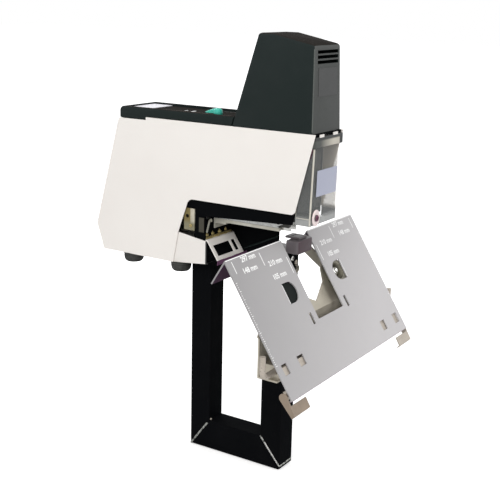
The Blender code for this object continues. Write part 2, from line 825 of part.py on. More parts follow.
def make_head_shoulder():
    low = (-INNER_HALF, SHOULDER_FRONT, SHOULDER_LOW)
    shoulder = solid("head_shoulder", box(low, (INNER_HALF, SHOULDER_BACK, SHOULDER_TOP)), pale)
    ease(shoulder, SHOULDER_EASE)
    inner = INNER_HALF - SHEET
    hollow_low = (-inner, SHOULDER_FRONT + SHOULDER_WALL, SHOULDER_LOW - OVERRUN)
    cut(shoulder, box(hollow_low, (inner, SHOULDER_BACK + OVERRUN, SHOULDER_TOP + OVERRUN)))
    return shoulder


STRIP_FRONT = -0.233
STRIP_BACK = -0.222


def make_head_strip():
    low = SHOULDER_TOP + GAP
    top = CASE_TOP
    solid("head_strip", box((-INNER_HALF, STRIP_FRONT, low), (INNER_HALF, STRIP_BACK, top)), black)


GUARD_LOW = 0.074
GUARD_TOP = 0.166
GUARD_FRONT_LOW = -0.2312
GUARD_FRONT_TOP = -0.2329
GUARD_SIDE_LOW = 0.0006  # from the panel's inner face to the guard
GUARD_SIDE_TOP = 0.0026
GUARD_BACK = -0.2115
GUARD_WALL = 0.0015
GUARD_ROUND = 0.0025
GUARD_LIFT = 0.005
SLOT_ROUND_SHARE = 0.99
SCREW_X = -0.0235
SCREW_Z = 0.0837
SCREW_RADIUS = 0.0025
SCREW_HEAD_RADIUS = 0.004
SCREW_HEAD = 0.002
WASHER_RADIUS = 0.010
WASHER_THICK = 0.0015


def guard_front(z):
    share = (z - GUARD_LOW) / (GUARD_TOP - GUARD_LOW)
    return GUARD_FRONT_LOW + share * (GUARD_FRONT_TOP - GUARD_FRONT_LOW)


def guard_ring(z, half, front):
    outline = loop([
        (-half, GUARD_BACK),
        (-half, front, GUARD_ROUND),
        (half, front, GUARD_ROUND),
        (half, GUARD_BACK),
        (half - GUARD_WALL, GUARD_BACK),
        (half - GUARD_WALL, front + GUARD_WALL, GUARD_ROUND - GUARD_WALL),
        (GUARD_WALL - half, front + GUARD_WALL, GUARD_ROUND - GUARD_WALL),
        (GUARD_WALL - half, GUARD_BACK),
    ])
    return [(x, y, z) for x, y in outline]


def make_guard():
    rings = [
        guard_ring(GUARD_LOW, INNER_HALF - GUARD_SIDE_LOW, GUARD_FRONT_LOW),
        guard_ring(GUARD_TOP, INNER_HALF - GUARD_SIDE_TOP, GUARD_FRONT_TOP),
    ]
    guard = solid("guard", bridge(rings), smoke, None, (0, GUARD_FRONT_LOW, GUARD_LOW))
    reach = SCREW_RADIUS + GAP
    low = SCREW_Z - GUARD_LIFT - reach
    high = SCREW_Z + reach
    slot_round = reach * SLOT_ROUND_SHARE
    slot = loop([
        (SCREW_X - reach, low, slot_round),
        (SCREW_X + reach, low, slot_round),
        (SCREW_X + reach, high, slot_round),
        (SCREW_X - reach, high, slot_round),
    ])
    cut(guard, prism("y", slot, GUARD_FRONT_TOP - OVERRUN, GUARD_FRONT_LOW + GUARD_WALL + OVERRUN))
    return guard


LABEL_LEFT = -0.022
LABEL_RIGHT = 0.0265
LABEL_LOW = 0.108
LABEL_TOP = 0.139
LABEL_THICK = 0.0005


def make_guard_plate():
    proud = GAP + LABEL_THICK
    outline = [
        (guard_front(LABEL_LOW) - GAP, LABEL_LOW),
        (guard_front(LABEL_TOP) - GAP, LABEL_TOP),
        (guard_front(LABEL_TOP) - proud, LABEL_TOP),
        (guard_front(LABEL_LOW) - proud, LABEL_LOW),
    ]
    origin = (0, GUARD_FRONT_LOW, GUARD_LOW)
    return solid("guard_plate", prism("x", outline, LABEL_LEFT, LABEL_RIGHT), pale, None, origin)


def make_guard_screw():
    # The washer and its screw hold the guard to the head, and the guard's slot runs on the shank.
    face = guard_front(SCREW_Z + WASHER_RADIUS) - GAP
    centre = (SCREW_X, SCREW_Z)
    outer = face - WASHER_THICK
    washer = solid("guard_washer", rod("y", centre, WASHER_RADIUS, outer, face), white, smooth=True)
    cut(washer, rod("y", centre, SCREW_RADIUS + GAP, outer - OVERRUN, face + OVERRUN, 16))
    head_back = outer - GAP
    profile = [
        (SCREW_HEAD_RADIUS, head_back - SCREW_HEAD),
        (SCREW_HEAD_RADIUS, head_back),
        (SCREW_RADIUS, head_back),
        (SCREW_RADIUS, HEAD_FRONT + HEAD_PIN_LENGTH),
    ]
    solid("guard_screw", turned("y", centre, profile, 16), dark, smooth=True)


# Magazine, its guide, the staples and the pusher

RAIL_INNER = 0.0075
RAIL_OUTER = 0.012
RAIL_LOW = 0.057
RAIL_NOSE_LOW = 0.063
RAIL_FRONT = -0.191
RAIL_NOSE = -0.178
RAIL_BACK = -0.082
FLANGE_OUT = 0.0015
FLANGE_LOW = 0.0642
FLANGE_THICK = 0.0013
BRIDGE_PLATE_FRONT = -0.100
BRIDGE_PLATE_LOW = 0.0545
BRIDGE_PLATE_LAP = 0.0005
LEG_LOW = 0.0477
GUIDE_FRONT = -0.1875
GUIDE_REAR = -0.0806
LIP_WALL = 0.0015
LIP_REACH = 0.0013


def make_magazine_guide():
    # A plate between the cheeks of the arm, with two lips that carry the magazine's flanges.
    half = arm_inner - GAP
    low = GUIDE_TOP - GUIDE_THICK
    plate = box((-half, GUIDE_FRONT, low), (half, GUIDE_REAR, GUIDE_TOP))
    guide = solid("magazine_guide", plate, galvanised)
    inner = RAIL_OUTER + FLANGE_OUT + RUNNING
    outer = inner + LIP_WALL
    bottom = FLANGE_LOW - RUNNING - LIP_WALL
    hang = [
        (inner, low + GUIDE_THICK / 2),
        (inner, FLANGE_LOW - RUNNING),
        (inner - LIP_REACH, FLANGE_LOW - RUNNING),
        (inner - LIP_REACH, bottom),
        (outer, bottom),
        (outer, low + GUIDE_THICK / 2),
    ]
    back = GUIDE_REAR - FLANGE_THICK
    join(guide, prism("y", hang, RAIL_NOSE, back))
    join(guide, prism("y", [(-x, z) for x, z in hang], RAIL_NOSE, back))
    return guide


def make_magazine():
    top = GUIDE_TOP - GUIDE_THICK - RUNNING
    rail = [
        (RAIL_FRONT, top),
        (RAIL_BACK, top),
        (RAIL_BACK, RAIL_LOW),
        (RAIL_NOSE, RAIL_LOW),
        (RAIL_NOSE, RAIL_NOSE_LOW),
        (RAIL_FRONT, RAIL_NOSE_LOW),
    ]
    origin = (0, RAIL_FRONT, RAIL_LOW)
    shape = prism("x", rail, -RAIL_OUTER, RAIL_OUTER)
    magazine = solid("magazine", shape, pale, None, origin)
    channel_low = (-RAIL_INNER, RAIL_FRONT - OVERRUN, RAIL_LOW - OVERRUN)
    cut(magazine, box(channel_low, (RAIL_INNER, RAIL_BACK + OVERRUN, top + OVERRUN)))
    for side in (-1, 1):
        edges = sorted((side * (RAIL_OUTER - FLANGE_OUT), side * (RAIL_OUTER + FLANGE_OUT)))
        low = (edges[0], RAIL_NOSE, FLANGE_LOW)
        join(magazine, box(low, (edges[1], RAIL_BACK - FLANGE_THICK, FLANGE_LOW + FLANGE_THICK)))
    plate = [
        (BRIDGE_PLATE_FRONT, RAIL_LOW + BRIDGE_PLATE_LAP),
        (BRIDGE_PLATE_FRONT, BRIDGE_PLATE_LOW),
        (RAIL_BACK - SHEET, BRIDGE_PLATE_LOW),
        (RAIL_BACK - SHEET, LEG_LOW),
        (RAIL_BACK, LEG_LOW),
        (RAIL_BACK, RAIL_LOW + BRIDGE_PLATE_LAP),
    ]
    join(magazine, prism("x", plate, -RAIL_OUTER, RAIL_OUTER))
    return magazine


STRIP_HALF = 0.0065
STRIP_LOW = 0.058
STRIP_REAR = -0.150
STAPLE_WALL = 0.0012
PUSHER_LENGTH = 0.015


def make_staples():
    top = GUIDE_TOP - GUIDE_THICK - GAP
    front = DRIVE_LINE + BLADE_THICK / 2 + GAP
    crown = [
        (-STRIP_HALF, STRIP_LOW),
        (-STRIP_HALF, top),
        (STRIP_HALF, top),
        (STRIP_HALF, STRIP_LOW),
        (STRIP_HALF - STAPLE_WALL, STRIP_LOW),
        (STRIP_HALF - STAPLE_WALL, top - STAPLE_WALL),
        (STAPLE_WALL - STRIP_HALF, top - STAPLE_WALL),
        (STAPLE_WALL - STRIP_HALF, STRIP_LOW),
    ]
    solid("staple_strip", prism("y", crown, front, STRIP_REAR), bright)
    push_front = STRIP_REAR + GAP
    low = (-STRIP_HALF, push_front, STRIP_LOW)
    high = (STRIP_HALF, push_front + PUSHER_LENGTH, top)
    solid("pusher", box(low, high), dark, None, (0, push_front, STRIP_LOW))


# Fittings on the leaning rear wall

WALL_LEAN = math.atan2(SHOULDER_HEIGHT - KINK_HEIGHT, SHOULDER_REAR - CASE_BACK)
INLET_X = 0.016
INLET_UP = 0.026
INLET_HALF = 0.0145
INLET_HALF_HEIGHT = 0.0115
INLET_DEPTH = 0.020
INLET_FLANGE = 0.003
INLET_FLANGE_THICK = 0.002
INLET_WALL = 0.0025
INLET_SOCKET_DEPTH = 0.016
SOCKET_UP = 0.058
SOCKET_RADIUS = 0.0085
SOCKET_FLANGE = 0.002
SOCKET_BORE = 0.006
SOCKET_DEPTH = 0.014
SOCKET_BORE_DEPTH = 0.011
ROCKER_X = -0.013
ROCKER_HALF = 0.0065
ROCKER_HALF_HEIGHT = 0.0095
ROCKER_FRAME = 0.002
ROCKER_DEPTH = 0.014
ROCKER_PROUD = 0.0028
ROCKER_LIP = 0.0015
ROCKER_PIVOT = 0.004


def make_rear_fittings(wall):
    # In the wall's plane: x across, y up the wall, z into the case.
    plane = pivot("rear_plane", (0, CASE_BACK, KINK_HEIGHT), (WALL_LEAN, 0, 0))
    holes = [
        (INLET_X, INLET_UP, INLET_HALF, INLET_HALF_HEIGHT),
        (ROCKER_X, INLET_UP, ROCKER_HALF + ROCKER_FRAME, ROCKER_HALF_HEIGHT + ROCKER_FRAME),
    ]
    cutters = []
    for x, up, half, tall in holes:
        low = (x - half - GAP, up - tall - GAP, -OVERRUN)
        cutters.append(box(low, (x + half + GAP, up + tall + GAP, SHEET + OVERRUN)))
    ring = SOCKET_RADIUS + GAP
    cutters.append(rod("z", (INLET_X, SOCKET_UP), ring, -OVERRUN, SHEET + OVERRUN, 24))
    cut(wall, *cutters, frame=plane)

    flange_half = INLET_HALF + INLET_FLANGE
    flange_tall = INLET_HALF_HEIGHT + INLET_FLANGE
    outer_face = -GAP - INLET_FLANGE_THICK
    flange_low = (INLET_X - flange_half, INLET_UP - flange_tall, outer_face)
    flange_high = (INLET_X + flange_half, INLET_UP + flange_tall, -GAP)
    inlet = solid("mains_inlet", box(flange_low, flange_high), black, plane)
    body_low = (INLET_X - INLET_HALF, INLET_UP - INLET_HALF_HEIGHT, -GAP - INLET_FLANGE_THICK / 2)
    body_high = (INLET_X + INLET_HALF, INLET_UP + INLET_HALF_HEIGHT, INLET_DEPTH)
    join(inlet, box(body_low, body_high))
    inner = INLET_HALF - INLET_WALL
    inner_tall = INLET_HALF_HEIGHT - INLET_WALL
    socket_low = (INLET_X - inner, INLET_UP - inner_tall, outer_face - OVERRUN)
    cut(inlet, box(socket_low, (INLET_X + inner, INLET_UP + inner_tall, INLET_SOCKET_DEPTH)))

    profile = [
        (SOCKET_RADIUS + SOCKET_FLANGE, outer_face),
        (SOCKET_RADIUS + SOCKET_FLANGE, -GAP),
        (SOCKET_RADIUS, -GAP),
        (SOCKET_RADIUS, SOCKET_DEPTH),
    ]
    centre = (INLET_X, SOCKET_UP)
    pedal = solid("pedal_socket", turned("z", centre, profile, 24), black, plane, smooth=True)
    cut(pedal, rod("z", centre, SOCKET_BORE, outer_face - OVERRUN, SOCKET_BORE_DEPTH, 24))

    frame_half = ROCKER_HALF + ROCKER_FRAME
    frame_tall = ROCKER_HALF_HEIGHT + ROCKER_FRAME
    frame_low = (ROCKER_X - frame_half, INLET_UP - frame_tall, -GAP - ROCKER_LIP)
    frame_high = (ROCKER_X + frame_half, INLET_UP + frame_tall, ROCKER_DEPTH)
    body = solid("rocker_frame", box(frame_low, frame_high), black, plane)
    hole_half = ROCKER_HALF + GAP
    hole_tall = ROCKER_HALF_HEIGHT + GAP
    hole_low = (ROCKER_X - hole_half, INLET_UP - hole_tall, -GAP - ROCKER_LIP - OVERRUN)
    hole_high = (ROCKER_X + hole_half, INLET_UP + hole_tall, ROCKER_DEPTH - ROCKER_FRAME)
    cut(body, box(hole_low, hole_high))
    axis = (ROCKER_X, INLET_UP, ROCKER_PIVOT)
    tip = ROCKER_HALF_HEIGHT - ROCKER_FRAME
    outline = [
        (INLET_UP - tip, -ROCKER_PROUD),
        (INLET_UP, -ROCKER_PROUD / 2),
        (INLET_UP + tip, -ROCKER_PROUD / 2),
        (INLET_UP + ROCKER_FRAME, ROCKER_PIVOT + ROCKER_FRAME),
        (INLET_UP - ROCKER_FRAME, ROCKER_PIVOT + ROCKER_FRAME),
    ]
    shape = prism("x", outline, ROCKER_X - ROCKER_HALF, ROCKER_X + ROCKER_HALF)
    solid("power_rocker", shape, dark, plane, axis)


# Bench frame: three mitred tubes that hang below the base, and the anvil on the front one

SEAM = 0.0012
SEAM_PROUD = 0.0006
ANVIL_HALF = 0.018
ANVIL_FRONT = -0.209
ANVIL_LOW = 0.0333
ANVIL_PLATE = 0.0026
ANVIL_PLATE_HALF = 0.009
ANVIL_PLATE_FRONT = -0.205
ANVIL_PLATE_BACK = -0.185
ANVIL_ROUND = 0.004
CAP_TOP = 0.0365
AXLE_RADIUS = 0.004
AXLE_HALF = 0.064
FLANGE_PLATE_HALF = 0.025
FLANGE_PLATE_BACK = -0.044
FLANGE_PLATE_THICK = 0.003
UPRIGHT_SCREW_X = 0.006
UPRIGHT_SCREW_Z = 0.009
UPRIGHT_SCREW_RADIUS = 0.0048
UPRIGHT_SCREW_HEAD = 0.004
CLINCH_NEAR = 0.0012
CLINCH_FAR = 0.0058
CLINCH_HALF = 0.0013
CLINCH_DEPTH = 0.0006

tube_half = TUBE / 2
rear_tube_back = REAR_TUBE_FRONT + TUBE
front_tube_back = FRONT_TUBE_FRONT + TUBE
frame_rail_top = FRAME_FLOOR + FOOT_RAIL
mitre = math.hypot(TUBE, FOOT_RAIL)
upright_top = ANVIL_LOW - GAP


def bored(name, outline, axis, low, high, deep=TUBE):
    # A square tube: its mitred side view, bored along its own axis.
    tube = solid(name, prism("x", outline, -tube_half, tube_half), black)
    inner = tube_half - TUBE_WALL
    centre_low = low + TUBE_WALL
    centre_high = low + deep - TUBE_WALL
    if axis == "z":
        bore_low = (-inner, centre_low, FRAME_FLOOR - OVERRUN)
        bore_high = (inner, centre_high, high + OVERRUN)
    else:
        bore_low = (-inner, FRONT_TUBE_FRONT - OVERRUN, centre_low)
        bore_high = (inner, rear_tube_back + OVERRUN, centre_high)
    cut(tube, box(bore_low, bore_high))
    return tube


def make_frame():
    slack = (SEAM / 2 + GAP) * mitre / TUBE
    slack_along = (SEAM / 2 + GAP) * mitre / FOOT_RAIL
    under = pan_floor(REAR_TUBE_FRONT) - SHEET - GAP
    under_back = pan_floor(rear_tube_back) - SHEET - GAP
    rear = [
        (REAR_TUBE_FRONT, frame_rail_top + slack),
        (REAR_TUBE_FRONT, under),
        (rear_tube_back, under_back),
        (rear_tube_back, FRAME_FLOOR + slack),
    ]
    bored("rear_upright", rear, "z", REAR_TUBE_FRONT, under)
    front = [
        (FRONT_TUBE_FRONT, FRAME_FLOOR + slack),
        (FRONT_TUBE_FRONT, upright_top),
        (front_tube_back, upright_top),
        (front_tube_back, frame_rail_top + slack),
    ]
    upright = bored("front_upright", front, "z", FRONT_TUBE_FRONT, upright_top)
    reach = tube_half + OVERRUN
    cut(upright, rod("x", (TILT_Y, TILT_Z), AXLE_RADIUS + GAP, -reach, reach, 24))
    rail = [
        (FRONT_TUBE_FRONT + slack_along, FRAME_FLOOR),
        (rear_tube_back - slack_along, FRAME_FLOOR),
        (REAR_TUBE_FRONT - slack_along, frame_rail_top),
        (front_tube_back + slack_along, frame_rail_top),
    ]
    bored("bottom_tube", rail, "y", FRAME_FLOOR, frame_rail_top, FOOT_RAIL)
    wide = tube_half + SEAM_PROUD
    seam_up = SEAM / 2 * mitre / TUBE
    seam_along = SEAM / 2 * mitre / FOOT_RAIL
    for word, outer, inner in (
        ("weld_front", FRONT_TUBE_FRONT, front_tube_back),
        ("weld_rear", rear_tube_back, REAR_TUBE_FRONT),
    ):
        way = 1 if inner > outer else -1
        low = (outer - way * SEAM_PROUD, FRAME_FLOOR - SEAM_PROUD)
        high = (inner + way * SEAM_PROUD, frame_rail_top + SEAM_PROUD)
        bead = [
            (low[0], low[1] + seam_up),
            (low[0], low[1]),
            (low[0] + way * seam_along, low[1]),
            (high[0], high[1] - seam_up),
            (high[0], high[1]),
            (high[0] - way * seam_along, high[1]),
        ]
        solid(word, prism("x", bead, -wide, wide), dark)


def make_frame_flange():
    # The plate inside the pan that the rear upright bolts to through the floor.
    front = NECK_BACK + GAP
    back = FLANGE_PLATE_BACK
    outline = [
        (front, pan_floor(front) + GAP),
        (back, pan_floor(back) + GAP),
        (back, pan_floor(back) + GAP + FLANGE_PLATE_THICK),
        (front, pan_floor(front) + GAP + FLANGE_PLATE_THICK),
    ]
    shape = prism("x", outline, -FLANGE_PLATE_HALF, FLANGE_PLATE_HALF)
    return solid("frame_flange", shape, black)


def make_anvil():
    block_top = ANVIL_TOP - ANVIL_PLATE - GAP
    rear = FRONT_TUBE_FRONT - GAP
    plan = loop([
        (-ANVIL_HALF, ANVIL_FRONT, ANVIL_ROUND),
        (ANVIL_HALF, ANVIL_FRONT, ANVIL_ROUND),
        (ANVIL_HALF, rear),
        (-ANVIL_HALF, rear),
    ])
    block = solid("anvil_block", prism("z", plan, ANVIL_LOW, block_top), lilac)
    cap_low = (-tube_half, rear - OVERRUN, ANVIL_LOW)
    join(block, box(cap_low, (tube_half, front_tube_back, CAP_TOP)))
    low = (-ANVIL_PLATE_HALF, ANVIL_PLATE_FRONT, ANVIL_TOP - ANVIL_PLATE)
    plate = solid("anvil_plate", box(low, (ANVIL_PLATE_HALF, ANVIL_PLATE_BACK, ANVIL_TOP)), dark)
    grooves = []
    for edges in ((-CLINCH_FAR, -CLINCH_NEAR), (CLINCH_NEAR, CLINCH_FAR)):
        groove_low = (edges[0], DRIVE_LINE - CLINCH_HALF, ANVIL_TOP - CLINCH_DEPTH)
        grooves.append(box(groove_low, (edges[1], DRIVE_LINE + CLINCH_HALF, ANVIL_TOP + OVERRUN)))
    cut(plate, *grooves)
    face = FRONT_TUBE_FRONT - GAP
    centre = (UPRIGHT_SCREW_X, UPRIGHT_SCREW_Z)
    head = rod("y", centre, UPRIGHT_SCREW_RADIUS, face - UPRIGHT_SCREW_HEAD, face, 20)
    solid("upright_screw", head, bright, smooth=True)
    axle = rod("x", (TILT_Y, TILT_Z), AXLE_RADIUS, -AXLE_HALF, AXLE_HALF, 24)
    solid("tilt_axle", axle, bright, None, (0, TILT_Y, TILT_Z), True)


# Table: drawn in the slope's own frame, x across, y up the slope, z out of its face

NOTCH_HALF = 0.0315
NOTCH_LENGTH = 0.104
FLANGE_LENGTH = 0.034
FLANGE_SHORT = 0.026
FLANGE_SHORT_HALF = 0.066
FLANGE_FOLD = math.radians(244.4)
TABLE_LIP = 0.005
WINDOW_X = 0.0594
WINDOW_DIST = 0.0615
WINDOW_RADIUS = 0.0127
WINDOW_OUTER = 0.071
KEY_X = 0.0434
KEY_HALF = 0.0026
KEY_NEAR = 0.093
KEY_FAR = 0.107
LEFT_SLOTS = ((0.010, 0.021), (0.044, 0.057))  # in from the side edge
RIGHT_SLOTS = ((0.009, 0.021), (0.045, 0.057))
LEFT_SLOT_INSET = 0.040  # up from the lower edge
RIGHT_SLOT_INSET = 0.0255
SLOT_LENGTH = 0.0125


def make_pivots():
    tilt = pivot("table_pivot", (0, TILT_Y, TILT_Z))
    ridge = (0, DRIVE_LINE - TILT_Y, ANVIL_TOP - TILT_Z)
    return pivot("slope", ridge, (TABLE_SLOPE, 0, 0), tilt)


def down(dist, depth=0):
    # A point in the slope's frame, from its distance below the ridge and its depth under the face.
    return (-dist, -depth)


def make_table_plate(slope):
    fold = (math.cos(FLANGE_FOLD), math.sin(FLANGE_FOLD))
    path = [
        down(TABLE_LENGTH, TABLE_LIP),
        down(TABLE_LENGTH),
        (0, 0),
        (fold[0] * FLANGE_LENGTH, fold[1] * FLANGE_LENGTH),
    ]
    shape = prism("x", strip(path, -TABLE_SHEET), -TABLE_HALF, TABLE_HALF)
    plate = solid("table_plate", shape, lilac, slope)
    deep = -FLANGE_LENGTH - OVERRUN
    notch = box((-NOTCH_HALF, -NOTCH_LENGTH, deep), (NOTCH_HALF, OVERRUN, OVERRUN))
    cut(plate, notch)
    side = (-fold[1], fold[0])
    short = []
    for along, across in (
        (FLANGE_SHORT, -OVERRUN),
        (FLANGE_LENGTH + OVERRUN, -OVERRUN),
        (FLANGE_LENGTH + OVERRUN, OVERRUN),
        (FLANGE_SHORT, OVERRUN),
    ):
        short.append((fold[0] * along + side[0] * across, fold[1] * along + side[1] * across))
    cut(plate, prism("x", short, -FLANGE_SHORT_HALF, FLANGE_SHORT_HALF))
    low = -TABLE_SHEET - OVERRUN
    holes = []
    for side_way in (-1, 1):
        centre = (side_way * WINDOW_X, -WINDOW_DIST)
        start = math.pi / 2 if side_way > 0 else -math.pi / 2
        outline = arc(centre, WINDOW_RADIUS, start, math.pi, 12)
        edge = side_way * WINDOW_OUTER
        outline += [(edge, outline[-1][1]), (edge, outline[0][1])]
        holes.append(prism("z", outline, low, OVERRUN))
        key = side_way * KEY_X
        holes.append(box((key - KEY_HALF, -KEY_FAR, low), (key + KEY_HALF, -KEY_NEAR, OVERRUN)))
    for side_way, slots, inset in ((-1, LEFT_SLOTS, LEFT_SLOT_INSET), (1, RIGHT_SLOTS, RIGHT_SLOT_INSET)):
        top = inset - TABLE_LENGTH
        for outer, inner in slots:
            left, right = sorted((side_way * (TABLE_HALF - outer), side_way * (TABLE_HALF - inner)))
            holes.append(box((left, top - SLOT_LENGTH, low), (right, top, OVERRUN)))
    cut(plate, *holes)
    return plate


CARRIER_DEPTH = 0.0123
CARRIER_HALF = 0.139
CARRIER_FOLD = 0.094
CARRIER_DROP = 0.044
CARRIER_SHELF = 0.024
CARRIER_TOP = (
    (0, 0.084),
    (0.034, 0.065),
    (0.042, 0.050),
    (0.050, 0.044),
    (0.069, 0.044),
    (0.078, 0.052),
)
EAR_X = 0.0585
EAR_THICK = 0.0025
EAR_BOSS = 0.0065
EAR_ROOT_NEAR = 0.046
EAR_ROOT_FAR = 0.072
ROD_RADIUS = 0.0035
ROD_AHEAD = 0.0175
ROD_ABOVE = 0.009
ROD_OUT = 0.009  # past the table's side edge
ROD_RISE = 0.025
ROD_BEND = 0.008
LUG_INSET = 0.008
LUG_THICK = 0.0025
LUG_RADIUS = 0.006


slope_down = (-math.sin(TABLE_SLOPE), -math.cos(TABLE_SLOPE))
slope_ahead = (-math.cos(TABLE_SLOPE), math.sin(TABLE_SLOPE))


def off(point, ahead, below):
    # Moves a point of the slope's frame forward and downward in the world.
    y = point[0] + slope_ahead[0] * ahead + slope_down[0] * below
    z = point[1] + slope_ahead[1] * ahead + slope_down[1] * below
    return (y, z)


carrier_corner = off(down(CARRIER_FOLD, CARRIER_DEPTH), 0, CARRIER_DROP)
rod_centre = off(carrier_corner, ROD_AHEAD, -ROD_ABOVE)


def slope_point(y, z):
    # A world point at rest, in the slope's frame.
    rise = (y - DRIVE_LINE, z - ANVIL_TOP)
    along = rise[0] * math.cos(TABLE_SLOPE) + rise[1] * math.sin(TABLE_SLOPE)
    out = rise[1] * math.cos(TABLE_SLOPE) - rise[0] * math.sin(TABLE_SLOPE)
    return (along, out)


def make_table_carrier(slope):
    path = [
        down(CARRIER_TOP[3][1], CARRIER_DEPTH),
        down(CARRIER_FOLD, CARRIER_DEPTH),
        carrier_corner,
        off(carrier_corner, CARRIER_SHELF, 0),
    ]
    shape = prism("x", strip(path, CARRIER_SHEET), -CARRIER_HALF, CARRIER_HALF)
    carrier = solid("table_carrier", shape, zinc, slope)
    # The top edge dips in a V at the middle, rises to two shoulders and falls away to the ends.
    far = CARRIER_HALF + OVERRUN
    edge = CARRIER_FOLD - CARRIER_SHEET
    top = OVERRUN - CARRIER_TOP[3][1]
    right = [(far, -edge)] + [(x, -dist) for x, dist in CARRIER_TOP[:0:-1]]
    left = [(-x, y) for x, y in right[::-1]]
    waste = [(-far, top), (far, top)] + right + [(0, -CARRIER_TOP[0][1])] + left
    deep = -CARRIER_DEPTH - CARRIER_SHEET - OVERRUN
    cut(carrier, prism("z", waste, deep, OVERRUN - CARRIER_DEPTH))

    axis = slope_point(TILT_Y, TILT_Z)
    root = CARRIER_DEPTH + CARRIER_SHEET / 2
    near = down(EAR_ROOT_NEAR, root)
    far_root = down(EAR_ROOT_FAR, root)
    middle = ((near[0] + far_root[0]) / 2 - axis[0], near[1] - axis[1])
    start = math.atan2(middle[1], middle[0]) - math.pi / 2
    ear = [near] + arc(axis, EAR_BOSS, start, -math.pi, 10) + [far_root]
    lug = [
        off(carrier_corner, -CARRIER_SHEET / 2, -ROD_ABOVE - LUG_RADIUS),
        off(carrier_corner, -CARRIER_SHEET / 2, CARRIER_SHEET / 2),
        off(carrier_corner, ROD_AHEAD + LUG_RADIUS, CARRIER_SHEET / 2),
        off(carrier_corner, ROD_AHEAD + LUG_RADIUS, -ROD_ABOVE),
        off(carrier_corner, ROD_AHEAD, -ROD_ABOVE - LUG_RADIUS),
    ]
    lug_near = CARRIER_HALF - LUG_INSET
    for side in (-1, 1):
        low, high = sorted((side * EAR_X, side * (EAR_X + EAR_THICK)))
        join(carrier, prism("x", ear, low, high))
        low, high = sorted((side * lug_near, side * (lug_near + LUG_THICK)))
        join(carrier, prism("x", lug, low, high))
    reach = CARRIER_HALF + OVERRUN
    cut(carrier, rod("x", axis, AXLE_RADIUS + GAP, -reach, reach, 24))
    cut(carrier, rod("x", rod_centre, ROD_RADIUS + GAP, -reach, reach, 24))
    return carrier


BUFFER_RADIUS = 0.0165
BUFFER_BORE = 0.011
BUFFER_SCREW_RADIUS = 0.005
BUFFER_SCREW_HEAD = 0.004


def make_buffers(slope):
    low = GAP - CARRIER_DEPTH
    high = -TABLE_SHEET - GAP
    for word, side in (("left", -1), ("right", 1)):
        centre = (side * WINDOW_X, -WINDOW_DIST)
        ring = rod("z", centre, BUFFER_RADIUS, low, high)
        buffer = solid(f"table_buffer_{word}", ring, rubber, slope, smooth=True)
        if side > 0:
            cut(buffer, rod("z", centre, BUFFER_BORE, low - OVERRUN, high + OVERRUN))
            head = rod("z", centre, BUFFER_SCREW_RADIUS, low, low + BUFFER_SCREW_HEAD, 20)
            solid("buffer_screw", head, bright, slope, smooth=True)


def make_lock_rod(slope):
    rise = (-slope_down[0], -slope_down[1])
    rod_half = TABLE_HALF + ROD_OUT
    half = []
    for x, lift in (
        [(rod_half, ROD_RISE)]
        + arc((rod_half - ROD_BEND, ROD_BEND), ROD_BEND, 0, -math.pi / 2, 6)
    ):
        half.append((x, rod_centre[0] + rise[0] * lift, rod_centre[1] + rise[1] * lift))
    route = half + [(-x, y, z) for x, y, z in half[::-1]]
    shape = sweep_tube(route, ROD_RADIUS, (0, slope_ahead[0], slope_ahead[1]), 16)
    at = (0, rod_centre[0], rod_centre[1])
    return solid("lock_rod", shape, galvanised, slope, at, True)


STOP_PIN_INSET = 0.0078  # up from the table's lower edge
STOP_PIN_DEPTH = 0.0072
STOP_PIN_RADIUS = 0.002
STOP_PIN_INNER_INSET = 0.013
MOUNT_INNER_INSET = 0.059  # in from the table's side edge
MOUNT_OUTER_INSET = 0.008
MOUNT_TOP_INSET = 0.037
MOUNT_BOTTOM_INSET = 0.0045
MOUNT_LUG = 0.0025
MOUNT_LUG_HALF = 0.005
STOP_INNER_INSET = 0.031
STOP_ARM_OUT = 0.0013
STOP_ARM = 0.002
STOP_SHEET = 0.0016
STOP_BOSS = 0.005
STOP_PATH = ((0.0248, 0.0014), (0.0235, -0.0036), (0.0114, -0.0040))


